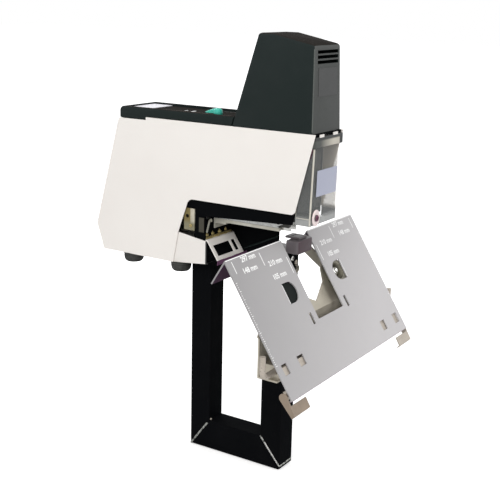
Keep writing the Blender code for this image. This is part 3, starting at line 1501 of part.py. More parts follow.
def make_corner_stops(slope):
    pin_dist = TABLE_LENGTH - STOP_PIN_INSET
    pin = down(pin_dist, STOP_PIN_DEPTH)
    near_edge = TABLE_HALF - MOUNT_INNER_INSET
    far_edge = TABLE_HALF - MOUNT_OUTER_INSET
    mount_top = MOUNT_TOP_INSET - TABLE_LENGTH
    mount_bottom = MOUNT_BOTTOM_INSET - TABLE_LENGTH
    arm_near = TABLE_HALF + STOP_ARM_OUT
    for word, side in (("left", -1), ("right", 1)):
        low, high = sorted((side * near_edge, side * far_edge))
        top = -TABLE_SHEET - GAP
        plate = box((low, mount_bottom, top - STOP_SHEET), (high, mount_top, top))
        mount = solid(f"stop_mount_{word}", plate, zinc, slope)
        low, high = sorted((side * (far_edge - MOUNT_LUG), side * far_edge))
        near = pin[0] - MOUNT_LUG_HALF
        far = pin[0] + MOUNT_LUG_HALF
        lug = rectangle(near, pin[1] - MOUNT_LUG_HALF, far, top - STOP_SHEET / 2)
        join(mount, prism("x", lug, low, high))
        cut(mount, rod("x", pin, STOP_PIN_RADIUS + GAP, low - OVERRUN, high + OVERRUN, 16))

        path = [down(pin_dist + past, STOP_PIN_DEPTH + deep) for past, deep in STOP_PATH]
        inner = side * (TABLE_HALF - STOP_INNER_INSET)
        outer = side * (arm_near + STOP_ARM / 2)
        shape = prism("x", strip(path, -STOP_SHEET), min(inner, outer), max(inner, outer))
        stop = solid(f"corner_stop_{word}", shape, zinc, slope, (0, pin[0], pin[1]))
        low, high = sorted((side * arm_near, side * (arm_near + STOP_ARM)))
        arm = arc(pin, STOP_BOSS, math.pi / 2, -math.pi, 8) + path
        join(stop, prism("x", arm, low, high))
        low, high = sorted((side * (TABLE_HALF - STOP_PIN_INNER_INSET), outer))
        join(stop, rod("x", pin, STOP_PIN_RADIUS, low, high, 16))


def build():
    make_base_pan()
    make_side_panel("side_panel_left", -1)
    make_side_panel("side_panel_right", 1)
    make_feet()
    make_rear_fittings(make_rear_wall())
    make_arm_frame()
    make_neck_wall()
    make_throat_bracket()
    make_base_apron()
    make_clamp_bar()
    make_throat_shield()
    make_top_cover()
    make_instruction_plate()
    make_force_dial()
    make_control_board()
    make_transformer()
    make_head_tower()
    make_head_block()
    make_solenoid_yoke()
    make_solenoid_coil()
    make_return_spring()
    make_plunger()
    make_driver_blade()
    make_head_shoulder()
    make_head_strip()
    make_guard()
    make_guard_plate()
    make_guard_screw()
    make_magazine_guide()
    make_magazine()
    make_staples()
    make_frame()
    make_frame_flange()
    make_anvil()
    slope = make_pivots()
    make_table_plate(slope)
    make_table_carrier(slope)
    make_buffers(slope)
    make_lock_rod(slope)
    make_corner_stops(slope)


build()
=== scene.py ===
import json
import math

import bmesh
import bpy
import numpy as np
from mathutils import Matrix, Vector


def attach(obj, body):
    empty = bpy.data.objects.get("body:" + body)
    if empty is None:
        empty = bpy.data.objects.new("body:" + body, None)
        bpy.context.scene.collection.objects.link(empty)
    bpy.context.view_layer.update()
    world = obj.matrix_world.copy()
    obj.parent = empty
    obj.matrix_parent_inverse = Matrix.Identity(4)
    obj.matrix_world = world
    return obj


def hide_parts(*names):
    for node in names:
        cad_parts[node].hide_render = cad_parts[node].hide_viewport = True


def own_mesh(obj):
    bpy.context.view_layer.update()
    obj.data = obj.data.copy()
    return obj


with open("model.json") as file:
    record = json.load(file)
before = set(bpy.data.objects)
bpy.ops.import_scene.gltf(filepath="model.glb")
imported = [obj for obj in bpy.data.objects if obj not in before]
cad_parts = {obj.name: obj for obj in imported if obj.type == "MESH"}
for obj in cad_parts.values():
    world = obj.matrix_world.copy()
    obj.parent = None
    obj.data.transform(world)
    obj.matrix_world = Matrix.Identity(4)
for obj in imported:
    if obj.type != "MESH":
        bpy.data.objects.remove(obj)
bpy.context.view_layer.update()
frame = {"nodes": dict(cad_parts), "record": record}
scene = bpy.context.scene
print("frame loaded:", len(frame["nodes"]), "nodes")

# What the pieces share: the table's ridge, the ways down its face and out of it, the floor and the axes
place = {"ridge": (0, -0.192, 0.0527), "down": (0, -0.5402, -0.8415), "out": (0, -0.8415, 0.5402),
         "floor": -0.2566}
right, rearward, upward = (1, 0, 0), (0, 1, 0), (0, 0, 1)
left, forward = (-1, 0, 0), (0, -1, 0)


# Camera, light and floor

view = {
    "location": (-1.00865, -0.76694, 0.33347),
    "back": (-0.8182, -0.5172, 0.2512),
    "roll": math.radians(1.34),
    "lens": 70.6,
    "sensor": 36.0,
    "clip": (0.01, 50),
}


def makeCamera():
    back = Vector(view["back"]).normalized()
    level = Vector(upward).cross(back).normalized()
    rise = back.cross(level)
    across = level * math.cos(view["roll"]) + rise * math.sin(view["roll"])
    above = rise * math.cos(view["roll"]) - level * math.sin(view["roll"])
    lens = bpy.data.cameras.new("camera")
    lens.lens = view["lens"]
    lens.sensor_width = view["sensor"]
    lens.clip_start, lens.clip_end = view["clip"]
    camera = bpy.data.objects.new("camera", lens)
    scene.collection.objects.link(camera)
    turn = Matrix((across, above, back)).transposed().to_4x4()
    camera.matrix_world = Matrix.Translation(view["location"]) @ turn
    scene.camera = camera


lamps = {
    # name: place, aim, side, watts, colour
    "key": ((-1.5, -0.55, 1.15), (0, -0.1, 0.05), 1.2, 20.6, (1.0, 0.985, 0.96)),
    "front": ((0.35, -1.9, 0.85), (0, -0.1, 0.0), 1.1, 14.0, (1.0, 0.99, 0.98)),
    "rear": ((0.9, 1.3, 1.3), (0, 0, 0.05), 1.0, 10.0, (0.97, 0.98, 1.0)),
    "top": ((-0.1, 0.0, 1.9), (0, 0, 0), 1.2, 9.0, (1.0, 1.0, 1.0)),
}


def makeLights():
    for name, (spot, aim, side, watts, colour) in lamps.items():
        lamp = bpy.data.lights.new(name, "AREA")
        lamp.shape = "SQUARE"
        lamp.size = side
        lamp.energy = watts
        lamp.color = colour
        holder = bpy.data.objects.new(name, lamp)
        scene.collection.objects.link(holder)
        holder.location = spot
        holder.rotation_euler = (Vector(aim) - Vector(spot)).to_track_quat("-Z", "Y").to_euler()
        holder.visible_glossy = name != "key"


room = {
    "fill": 0.42, "fillColour": (0.98, 0.985, 1.0), "floorReach": 12.0, "floorGrey": 0.80,
    "floorRoughness": 0.9,
    "glow": 0.50, "glowCentre": (0, -0.12, place["floor"]), "glowFrom": 0.25, "whiteAt": 0.75,
}


def ranged(tree, source, span, result):
    # Map Range: carries the source from one span of numbers to another.
    node = tree.nodes.new("ShaderNodeMapRange")
    for socket, value in zip(("From Min", "From Max", "To Min", "To Max"), (*span, *result)):
        node.inputs[socket].default_value = value
    tree.links.new(source, node.inputs["Value"])
    return node.outputs["Result"]


def combined(tree, operation, first, second):
    # Math node on two sockets.
    node = tree.nodes.new("ShaderNodeMath")
    node.operation = operation
    tree.links.new(first, node.inputs[0])
    tree.links.new(second, node.inputs[1])
    return node.outputs[0]


def makeBackdrop():
    # White to the camera and to mirror-like and see-through rays, a soft grey fill to the rest.
    world = bpy.data.worlds.new("room")
    scene.world = world
    world.use_nodes = True
    tree = world.node_tree
    tree.nodes.clear()
    mix = tree.nodes.new("ShaderNodeMixShader")
    rays = tree.nodes.new("ShaderNodeLightPath").outputs
    seen = combined(tree, "MAXIMUM", rays["Is Camera Ray"], rays["Is Transmission Ray"])
    tree.links.new(combined(tree, "MAXIMUM", seen, rays["Is Glossy Ray"]), mix.inputs[0])
    for socket, colour, strength in ((1, room["fillColour"], room["fill"]), (2, (1, 1, 1), 1)):
        glow = tree.nodes.new("ShaderNodeBackground")
        glow.inputs["Color"].default_value = (*colour, 1)
        glow.inputs["Strength"].default_value = strength
        tree.links.new(glow.outputs[0], mix.inputs[socket])
    tree.links.new(mix.outputs[0], tree.nodes.new("ShaderNodeOutputWorld").inputs["Surface"])


def makeFloor():
    # Keeps the shadow under the object; its glow rises to full white away from it, into the backdrop.
    mesh = bpy.data.meshes.new("floor")
    reach = room["floorReach"]
    corners = [(-reach, -reach), (reach, -reach), (reach, reach), (-reach, reach)]
    mesh.from_pydata([(x, y, place["floor"]) for x, y in corners], [], [(0, 1, 2, 3)])
    floor = bpy.data.objects.new("floor", mesh)
    scene.collection.objects.link(floor)
    look = {"base_color": (room["floorGrey"],) * 3, "roughness": room["floorRoughness"],
            "specular_ior_level": 0.0}
    material, tree, shader = newFinish("floorWhite", emission_color=(1, 1, 1), **look)
    away = tree.nodes.new("ShaderNodeVectorMath")
    away.operation = "DISTANCE"
    away.inputs[1].default_value = room["glowCentre"]
    tree.links.new(tree.nodes.new("ShaderNodeTexCoord").outputs["Object"], away.inputs[0])
    rise = ranged(tree, away.outputs["Value"], (room["glowFrom"], room["whiteAt"]), (room["glow"], 1))
    rays = tree.nodes.new("ShaderNodeLightPath").outputs
    glow = combined(tree, "MULTIPLY", rays["Is Camera Ray"], rise)
    tree.links.new(glow, shader.inputs["Emission Strength"])
    mesh.materials.append(material)


# Finish makers

def newFinish(name, **plain):
    # A Principled shader with its plain values set on its own sockets.
    material = bpy.data.materials.new(name)
    material.use_nodes = True
    tree = material.node_tree
    shader = tree.nodes["Principled BSDF"]
    for socket, value in plain.items():
        label = socket.replace("_", " ").title().replace("Ior", "IOR")
        shader.inputs[label].default_value = (*value, 1) if isinstance(value, tuple) else value
    return material, tree, shader


scene.view_settings.view_transform = "Standard"
makeCamera()
makeLights()
makeBackdrop()
makeFloor()
print("camera, light and floor ready")


def grain(tree, scale, detail=2.0, stretch=(1, 1, 1), rough=0.5):
    # Noise in object space, stretched along an axis for rolled or brushed metal.
    coords = tree.nodes.new("ShaderNodeTexCoord")
    mapping = tree.nodes.new("ShaderNodeMapping")
    mapping.inputs["Scale"].default_value = stretch
    noise = tree.nodes.new("ShaderNodeTexNoise")
    noise.inputs["Scale"].default_value = scale
    noise.inputs["Detail"].default_value = detail
    noise.inputs["Roughness"].default_value = rough
    tree.links.new(coords.outputs["Object"], mapping.inputs["Vector"])
    tree.links.new(mapping.outputs["Vector"], noise.inputs["Vector"])
    return noise.outputs["Fac"]


def between(tree, factor, first, second):
    # Mixes two colours by a factor from 0 to 1.
    node = tree.nodes.new("ShaderNodeMix")
    node.data_type = "RGBA"
    for socket, colour in ((6, first), (7, second)):
        if isinstance(colour, tuple):
            node.inputs[socket].default_value = (*colour, 1)
        else:
            tree.links.new(colour, node.inputs[socket])
    tree.links.new(factor, node.inputs[0])
    return node.outputs[2]


def relief(tree, shader, height, strength, depth):
    # Bump from a height, at a strength and a depth in metres.
    node = tree.nodes.new("ShaderNodeBump")
    node.inputs["Strength"].default_value = strength
    node.inputs["Distance"].default_value = depth
    tree.links.new(height, node.inputs["Height"])
    tree.links.new(node.outputs["Normal"], shader.inputs["Normal"])


# How each kind of surface is grained: noise scale and detail, the span of noise that shows, and bump depth
middle = (0.35, 0.65)
sprayed = {"drift": (9, 3), "rough": (60, 3), "spread": (-0.04, 0.06), "peel": (620, 2), "depth": 0.00008,
           "coat_weight": 0.15, "coat_roughness": 0.2}
moulded = {"marks": (14, 5), "marksRough": 0.65, "shows": (0.45, 0.75), "rough": (30, 4),
           "spread": (-0.05, 0.08),
           "depth": 0.00012}
rolled = {"cloudDetail": 4, "cloudRough": 0.6, "lines": (420, 3), "spread": (-0.07, 0.1), "bump": 0.12,
          "depth": 0.00006}
gummed = {"bloom": (70, 4), "shows": (0.4, 0.7), "rough": (200, 2), "spread": (0.6, 0.8), "tread": (1100, 2),
          "bump": 0.3, "depth": 0.0001, "shine": 0.3}


def roughened(tree, shader, noise, roughness, spread):
    # Roughness = the given one plus a share of the spread that follows the noise.
    span = (roughness + spread[0], roughness + spread[1])
    tree.links.new(ranged(tree, noise, middle, span), shader.inputs["Roughness"])


def enamel(name, pale, shade, roughness=0.4, peel=0.12):
    # Sprayed enamel: a slight orange peel, and a soft drift of tone over the sheet.
    coat = {socket: sprayed[socket] for socket in ("coat_weight", "coat_roughness")}
    material, tree, shader = newFinish(name, **coat)
    drift = ranged(tree, grain(tree, *sprayed["drift"]), middle, (0, 1))
    tree.links.new(between(tree, drift, pale, shade), shader.inputs["Base Color"])
    roughened(tree, shader, grain(tree, *sprayed["rough"]), roughness, sprayed["spread"])
    relief(tree, shader, grain(tree, *sprayed["peel"]), peel, sprayed["depth"])
    return material


def moulding(name, body, scuff, roughness=0.5, bite=0.35, scale=1500, level=0.35):
    # Spark-textured plastic or powder coat: a fine even grain and faint handling marks.
    material, tree, shader = newFinish(name, specular_ior_level=level)
    noise = grain(tree, *moulded["marks"], rough=moulded["marksRough"])
    marks = ranged(tree, noise, moulded["shows"], (0, 1))
    tree.links.new(between(tree, marks, body, scuff), shader.inputs["Base Color"])
    roughened(tree, shader, grain(tree, *moulded["rough"]), roughness, moulded["spread"])
    relief(tree, shader, grain(tree, scale, 1), bite, moulded["depth"])
    return material


def plated(name, bright, dull, roughness=0.32, stretch=(1, 1, 1), scale=60, metal=0.85):
    # Plated or rolled steel: cloudy passivation and fine lines along the sheet.
    material, tree, shader = newFinish(name, metallic=metal)
    noise = grain(tree, scale, rolled["cloudDetail"], rough=rolled["cloudRough"])
    cloud = ranged(tree, noise, middle, (0, 1))
    tree.links.new(between(tree, cloud, bright, dull), shader.inputs["Base Color"])
    lines = grain(tree, *rolled["lines"], stretch)
    roughened(tree, shader, lines, roughness, rolled["spread"])
    relief(tree, shader, lines, rolled["bump"], rolled["depth"])
    return material


def rubberSkin(name, body, dust):
    # Rubber with a dusty bloom.
    material, tree, shader = newFinish(name, specular_ior_level=gummed["shine"])
    bloom = ranged(tree, grain(tree, *gummed["bloom"]), gummed["shows"], (0, 1))
    tree.links.new(between(tree, bloom, body, dust), shader.inputs["Base Color"])
    roughened(tree, shader, grain(tree, *gummed["rough"]), 0, gummed["spread"])
    relief(tree, shader, grain(tree, *gummed["tread"]), gummed["bump"], gummed["depth"])
    return material


finishes = {
    "cream": enamel("creamEnamel", (0.86, 0.83, 0.795), (0.84, 0.805, 0.77)),
    "white": enamel("whiteEnamel", (0.84, 0.81, 0.78), (0.80, 0.77, 0.735)),
    "pan": enamel("panEnamel", (0.84, 0.81, 0.78), (0.80, 0.77, 0.735)),
    "greyFace": enamel("greyLacquer", (0.305, 0.298, 0.303), (0.285, 0.279, 0.284), 0.4, 0.08),
    "anvil": enamel("anvilLacquer", (0.125, 0.110, 0.118), (0.075, 0.064, 0.070), 0.4, 0.05),
    "palePlate": enamel("palePlate", (0.42, 0.44, 0.54), (0.38, 0.40, 0.50), 0.42, 0.06),
    "whitePlate": enamel("whitePlate", (0.70, 0.69, 0.74), (0.66, 0.65, 0.70), 0.42, 0.06),
    "shoulder": enamel("shoulderShell", (0.64, 0.60, 0.51), (0.52, 0.49, 0.42), 0.45, 0.2),
    "blush": enamel("nylonRing", (0.82, 0.72, 0.71), (0.76, 0.62, 0.62), 0.4, 0.05),
    "guardFrost": enamel("guardFrost", (0.84, 0.77, 0.67), (0.76, 0.70, 0.61), 0.35, 0.05),
    "guardRim": enamel("guardRim", (0.62, 0.60, 0.53), (0.50, 0.48, 0.42), 0.3, 0.05),
    "ink": enamel("whiteInk", (0.86, 0.86, 0.86), (0.84, 0.84, 0.84), 0.5, 0.03),
    "greyLine": enamel("greyLine", (0.22, 0.23, 0.23), (0.20, 0.21, 0.21), 0.5, 0.03),
    "charcoal": moulding("charcoalMoulding", (0.0075, 0.0130, 0.0125), (0.0105, 0.0160, 0.0155),
                         0.5, 0.18, 1500, 0.2),
    # painted light: a paler copy of the charcoal for the tower's front faces, where the front lamp falls
    "charcoalFrontPaintedLight": moulding("charcoalFrontPaintedLightMoulding", (0.056, 0.060, 0.058), (0.066, 0.070, 0.068),
                              0.5, 0.2, 1500, 0.2),
    # painted light: a warmer, paler copy of the charcoal for top faces, for the light they catch from above
    "charcoalTopPaintedLight": moulding("charcoalTopPaintedLightMoulding", (0.020, 0.0185, 0.017), (0.026, 0.024, 0.022),
                            0.6, 0.3, 1500, 0.2),
    # painted highlight: a paler charcoal for the wire down the tower's front corner
    "towerHighlight": moulding("towerHighlightMoulding", (0.105, 0.115, 0.108), (0.085, 0.095, 0.09), 0.5, 0.1, 1500,
                         0.1),
    # painted highlight: a brown line along the recess's rim
    "recessEdgeHighlight": moulding("recessEdgeHighlight", (0.075, 0.056, 0.045), (0.055, 0.042, 0.035), 0.5, 0.1, 1500, 0.1),
    "powder": moulding("blackPowder", (0.0042, 0.0046, 0.0054), (0.0058, 0.0062, 0.0070), 0.5, 0.4, 900,
                       0.15),
    "flange": moulding("flangeShade", (0.085, 0.03, 0.07), (0.06, 0.02, 0.05), 0.75, 0.1, 300, 0.08),
    # painted shade: plum for the table's lower lip, which faces down and away from the lamps
    "lip": moulding("plumShadeLip", (0.060, 0.026, 0.055), (0.045, 0.020, 0.042), 0.6, 0.1, 300, 0.08),
    # painted shade: plum on the strip folded under the apron's lower edge
    "plumShadeStrip": moulding("plumShadeStrip", (0.13, 0.055, 0.115), (0.10, 0.045, 0.09), 0.6, 0.1, 300, 0.08),
    # painted highlight: a slightly paler dark for the line along the throat shield
    "shieldHighlightTone": moulding("shieldHighlightTone", (0.012, 0.020, 0.019), (0.018, 0.026, 0.025), 0.4, 0.3, 600, 0.1),
    "blackRubber": moulding("blackRubber", (0.006, 0.0085, 0.008), (0.009, 0.011, 0.010), 0.7, 0.06, 700,
                            0.15),
    "badge": moulding("badgePlate", (0.055, 0.057, 0.057), (0.065, 0.067, 0.067), 0.4, 0.1, 900, 0.3),
    "teal": moulding("tealKnob", (0.045, 0.47, 0.37), (0.05, 0.52, 0.42), 0.35, 0.08, 700, 0.5),
    "board": moulding("greenBoard", (0.02, 0.13, 0.05), (0.03, 0.16, 0.07), 0.4, 0.1, 800, 0.4),
    "rubber": rubberSkin("footRubber", (0.030, 0.031, 0.030), (0.055, 0.056, 0.053)),
    "darkSteel": plated("darkSteel", (0.17, 0.175, 0.17), (0.10, 0.105, 0.10), 0.45, metal=0.5),
    "headSteel": plated("headSteel", (0.060, 0.066, 0.064), (0.045, 0.050, 0.048), 0.45, metal=0.3),
    "oliveSteel": plated("oliveSteel", (0.060, 0.055, 0.038), (0.040, 0.036, 0.026), 0.5, metal=0.2),
    "khaki": plated("khakiZinc", (0.52, 0.48, 0.40), (0.45, 0.415, 0.34), 0.40, (0.1, 1, 1), 22, 0.45),
    "beige": plated("beigeZinc", (0.50, 0.45, 0.39), (0.42, 0.375, 0.32), 0.34, metal=0.4),
    "brownZinc": plated("brownZinc", (0.285, 0.225, 0.17), (0.235, 0.185, 0.14), 0.38, metal=0.3),
    "galvanised": plated("galvanisedSheet", (0.62, 0.63, 0.62), (0.45, 0.46, 0.45), 0.3, scale=140),
    "bright": plated("brightSteel", (0.80, 0.80, 0.78), (0.66, 0.66, 0.64), 0.18, metal=1.0),
    "yellow": plated("yellowZinc", (0.62, 0.50, 0.22), (0.42, 0.34, 0.16), 0.32, metal=0.7),
    "bracket": plated("bracketZinc", (0.66, 0.62, 0.50), (0.50, 0.46, 0.36), 0.35, scale=90, metal=0.3),
    "rail": plated("railSteel", (0.72, 0.71, 0.63), (0.60, 0.58, 0.50), 0.36, metal=0.3),
    "bufferCup": plated("bufferCup", (0.30, 0.28, 0.22), (0.14, 0.135, 0.11), 0.4, scale=120, metal=0.4),
    "plumScrew": plated("plumScrew", (0.16, 0.05, 0.09), (0.10, 0.03, 0.06), 0.35, metal=0.4),
    "copper": plated("copperWire", (0.60, 0.27, 0.13), (0.50, 0.21, 0.10), 0.3, metal=0.9),
    "weld": plated("weldMetal", (0.60, 0.62, 0.58), (0.02, 0.022, 0.02), 0.35, scale=300, metal=0.6),
    "weldShine": plated("weldShine", (0.95, 0.95, 0.92), (0.10, 0.10, 0.10), 0.3, scale=640, metal=0.3),
}
for look, index in (("powder", 1.06), ("charcoalTopPaintedLight", 1.04)):
    finishes[look].node_tree.nodes["Principled BSDF"].inputs["IOR"].default_value = index


def tinted(material, colour, direction, edge, soft=0.0002):
    # Past the plane direction . point = edge the colour takes over, across the soft width.
    tree = material.node_tree
    shader = tree.nodes["Principled BSDF"]
    reach = tree.nodes.new("ShaderNodeVectorMath")
    reach.operation = "DOT_PRODUCT"
    reach.inputs[1].default_value = direction
    tree.links.new(tree.nodes.new("ShaderNodeTexCoord").outputs["Object"], reach.inputs[0])
    mask = ranged(tree, reach.outputs["Value"], (edge - soft, edge + soft), (0, 1))
    old = shader.inputs["Base Color"].links[0].from_socket
    tree.links.new(between(tree, mask, old, colour), shader.inputs["Base Color"])


# Second tones: painted light paling the table toward its lower right; painted shade in plum on its lip and
# the anvil's front, and dark on the shoulder's left; other tones on the flange's left end, the shoulder's
# top and right end, the base pan's front, the bracket, the magazine rail's top and the guard's frosted wall
downward = (0, 0, -1)
ridgeReach = float(np.dot(place["down"], place["ridge"]))
tints = (
    # finish, colour, direction, edge, soft width
    # painted light: the table face paler toward its lower right, standing in for the light across it
    ("greyFace", (0.50, 0.487, 0.495), (0.7, -0.3781, -0.5890), 0.7 * ridgeReach + 0.04, 0.12),
    # painted shade: plum on the table's lower lip
    ("greyFace", (0.16, 0.07, 0.14), place["down"], ridgeReach + 0.1691, 0.0002),
    # the flange's painted shade turns paler brown past x = -0.115, at its left end
    ("flange", (0.40, 0.33, 0.28), left, 0.115, 0.03),
    # painted shade: the anvil's front face darker plum
    ("anvil", (0.036, 0.015, 0.023), forward, 0.2080, 0.0008),
    # painted shade: the shoulder dark on its left side, shading into its cream toward the right
    ("shoulder", (0.060, 0.066, 0.060), left, 0.006, 0.016),
    ("shoulder", (0.012, 0.014, 0.014), upward, 0.1745, 0.0009),
    ("shoulder", (0.010, 0.012, 0.012), right, 0.0245, 0.0006),
    ("pan", (0.012, 0.012, 0.013), forward, 0.0840, 0.0002),
    ("bracket", (0.20, 0.155, 0.055), rearward, -0.0602, 0.0006),
    ("bracket", (0.24, 0.22, 0.14), downward, -0.0560, 0.0025),
    ("rail", (0.05, 0.05, 0.045), upward, 0.0612, 0.0006),
    ("guardFrost", (0.12, 0.125, 0.13), downward, -0.0880, 0.003),
)
for look, *tone in tints:
    tinted(finishes[look], *tone)


def hazed(material, high, low, clear, dim):
    # Alpha goes from clear above the height high to dim below the height low.
    tree = material.node_tree
    axes = tree.nodes.new("ShaderNodeSeparateXYZ")
    tree.links.new(tree.nodes.new("ShaderNodeTexCoord").outputs["Object"], axes.inputs[0])
    thicker = ranged(tree, axes.outputs["Z"], (high, low), (clear, dim))
    tree.links.new(thicker, tree.nodes["Principled BSDF"].inputs["Alpha"])


smoky = {"base_color": (0.34, 0.35, 0.345), "ior": 1.49, "coat_weight": 0.6, "coat_roughness": 0.05}
handled = {"grain": (45, 4), "spread": (0.06, 0.2)}


def acrylic():
    # Smoky clear sheet, a little hazed and scratched by handling.
    material, tree, shader = newFinish("smokyAcrylic", **smoky)
    roughened(tree, shader, grain(tree, *handled["grain"]), 0, handled["spread"])
    return material


finishes["acrylic"] = acrylic()
hazed(finishes["acrylic"], 0.0860, 0.0800, 0.15, 0.88)
hazed(finishes["guardFrost"], 0.0915, 0.0870, 0.46, 0.88)
print("finishes ready:", len(finishes))


# Dressing the solids: each stays in place and shape, and its edges get the small radius of the real sheet

def finePiece(name, points, faces, body, look, smooth=True, node=None):
    # Puts worked-out points and faces in a mesh, sets its finish and ties it to its body.
    mesh = bpy.data.meshes.new(name)
    mesh.from_pydata(np.asarray(points).reshape(-1, 3).tolist(), [], [list(face) for face in faces])
    mesh.materials.append(finishes[look])
    shape = bmesh.new()
    shape.from_mesh(mesh)
    bmesh.ops.recalc_face_normals(shape, faces=shape.faces)
    shape.to_mesh(mesh)
    shape.free()
    if smooth:
        mesh.shade_smooth()
    piece = bpy.data.objects.new(name, mesh)
    scene.collection.objects.link(piece)
    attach(piece, body)
    if node:
        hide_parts(node)
    return piece


def arrayOf(items, field, width, kind=float):
    # One field of a mesh's vertices, polygons or triangles as an array.
    values = np.empty(len(items) * width, dtype=kind)
    items.foreach_get(field, values)
    return values.reshape(-1, width) if width > 1 else values


def solidPoints(node):
    # A CAD node's points and triangles as arrays, with points within a hundredth of a millimetre merged.
    mesh = frame["nodes"][node].data
    mesh.calc_loop_triangles()
    points = arrayOf(mesh.vertices, "co", 3)
    faces = arrayOf(mesh.loop_triangles, "vertices", 3, np.int64)
    kept, index = np.unique(np.round(points, 5), axis=0, return_inverse=True)
    first, second, third = faces = index.reshape(-1)[faces].T
    whole = (first != second) & (second != third) & (first != third)
    return kept, faces.T[whole]


flatAngle, sharpAngle, bevelSteps = math.radians(0.6), math.radians(28), 2
owners = {node: name for name, group in frame["record"]["behaviour"]["bodies"].items() for node in group}


def dress(node, look, radius):
    # The node's own solid with its flat faces made whole and its corners rounded by the radius.
    points, faces = solidPoints(node)
    piece = finePiece(f"{node}_dressed", points, faces, owners[node], look, node=node)
    shape = bmesh.new()
    shape.from_mesh(piece.data)
    bmesh.ops.dissolve_limit(shape, angle_limit=flatAngle, verts=shape.verts, edges=shape.edges)
    shape.to_mesh(piece.data)
    shape.free()
    piece.data.shade_smooth()
    corner = piece.modifiers.new("corner", "BEVEL")
    corner.width = radius
    corner.segments = bevelSteps
    corner.limit_method = "ANGLE"
    corner.angle_limit = sharpAngle
    corner.harden_normals = True
    corner.use_clamp_overlap = True
    return piece


dressing = {
    # finish and corner radius: the nodes that take them
    ("cream", 0.0006): ("side_panel_left", "side_panel_right"),
    ("cream", 0.0004): ("rear_wall",),
    ("pan", 0.0005): ("base_pan",),
    ("white", 0.0005): ("base_apron",),
    ("powder", 0.0006): ("arm_frame",),
    ("powder", 0.0005): ("power_rocker",),
    ("powder", 0.0004): ("neck_wall", "throat_shield", "head_strip"),
    ("powder", 0.0003): ("frame_flange",),
    ("powder", 0.0018): ("front_upright", "rear_upright", "bottom_tube"),
    ("charcoal", 0.0005): ("mains_inlet",),
    ("charcoal", 0.0004): ("top_cover", "head_tower", "rocker_frame"),
    ("charcoal", 0.0003): ("pedal_socket",),
    ("whitePlate", 0.0002): ("instruction_plate",),
    ("board", 0.0002): ("control_board",),
    ("darkSteel", 0.001): ("transformer",),
    ("darkSteel", 0.0006): ("solenoid_yoke",),
    ("darkSteel", 0.0004): ("pusher",),
    ("headSteel", 0.0008): ("head_block",),
    ("shoulder", 0.0003): ("head_shoulder",),
    ("acrylic", 0.0002): ("guard",),
    ("palePlate", 0.0001): ("guard_plate",),
    ("galvanised", 0.0003): ("magazine_guide",),
    ("rail", 0.0003): ("magazine",),
    ("bright", 0.0002): ("staple_strip",),
    ("bright", 0.0001): ("driver_blade",),
    ("bracket", 0.0004): ("throat_bracket",),
    ("yellow", 0.0006): ("clamp_bar",),
    ("anvil", 0.0016): ("anvil_block",),
    ("anvil", 0.0004): ("anvil_plate",),
    ("greyFace", 0.0004): ("table_plate",),
    ("khaki", 0.0005): ("table_carrier",),
    ("beige", 0.0004): ("stop_mount_left", "stop_mount_right"),
    ("beige", 0.0005): ("corner_stop_right",),
    ("brownZinc", 0.0005): ("corner_stop_left",),
}
dressed = {node: dress(node, *style) for style, nodes in dressing.items() for node in nodes}


def paint(piece, look, chosen):
    # Gives the faces whose centre and normal pass the test a second finish.
    mesh = piece.data
    mesh.materials.append(finishes[look])
    picked = chosen(arrayOf(mesh.polygons, "center", 3), arrayOf(mesh.polygons, "normal", 3))
    number = arrayOf(mesh.polygons, "material_index", 1, np.int32)
    number[picked] = len(mesh.materials) - 1
    mesh.polygons.foreach_set("material_index", number)


painted = (
    # painted shade: the table's back flange takes the dark plum flangeShade finish
    ("table_plate", "flange", lambda spot, normal: spot[:, 1] > -0.1916),
    # painted shade: the lip faces that look down the slope take the plum
    ("table_plate", "lip", lambda spot, normal: normal @ np.array(place["down"]) > 0.8),
    # painted light: the tower's front faces take the paler charcoal
    ("head_tower", "charcoalFrontPaintedLight", lambda spot, normal: normal[:, 1] < -0.8),
    ("base_pan", "powder", lambda spot, normal: (normal[:, 1] < -0.5) & (spot[:, 1] < -0.083)),
    # painted light: the top faces of the cover and the tower take the warmer, paler charcoal
    ("top_cover", "charcoalTopPaintedLight", lambda spot, normal: normal[:, 2] > 0.9),
    ("head_tower", "charcoalTopPaintedLight", lambda spot, normal: (normal[:, 2] > 0.8) & (spot[:, 2] > 0.27)),
    ("guard", "guardFrost", lambda spot, normal: spot[:, 0] > 0.0288),
    ("guard", "guardRim", lambda spot, normal: (spot[:, 2] < 0.0742) | (spot[:, 1] > -0.2117)),
)
for node, look, chosen in painted:
    paint(dressed[node], look, chosen)
print("solids dressed:", len(dressed))

# Nodes whose own surface is already right, and only take a finish
plainNodes = {
    "bright": ("tilt_axle", "plunger", "buffer_screw", "upright_screw"),
    "copper": ("solenoid_coil",),
    "darkSteel": ("guard_screw",),
    "blackRubber": ("table_buffer_left",),
    "bufferCup": ("table_buffer_right",),
    "beige": ("lock_rod",),
}
for look, nodes in plainNodes.items():
    for node in nodes:
        mesh = frame["nodes"][node].data
        mesh.materials.clear()
        mesh.materials.append(finishes[look])


# Surface makers

def facesBetween(rings, turns):
    # Quads from ring i to i+1 and turn j to j+1, where point (i, j) has the number i * turns + j.
    ring, turn = np.meshgrid(np.arange(rings - 1), np.arange(turns), indexing="ij")
    after = (turn + 1) % turns
    low, high = ring * turns, (ring + 1) * turns
    return np.stack([low + turn, low + after, high + after, high + turn], -1).reshape(-1, 4).tolist()


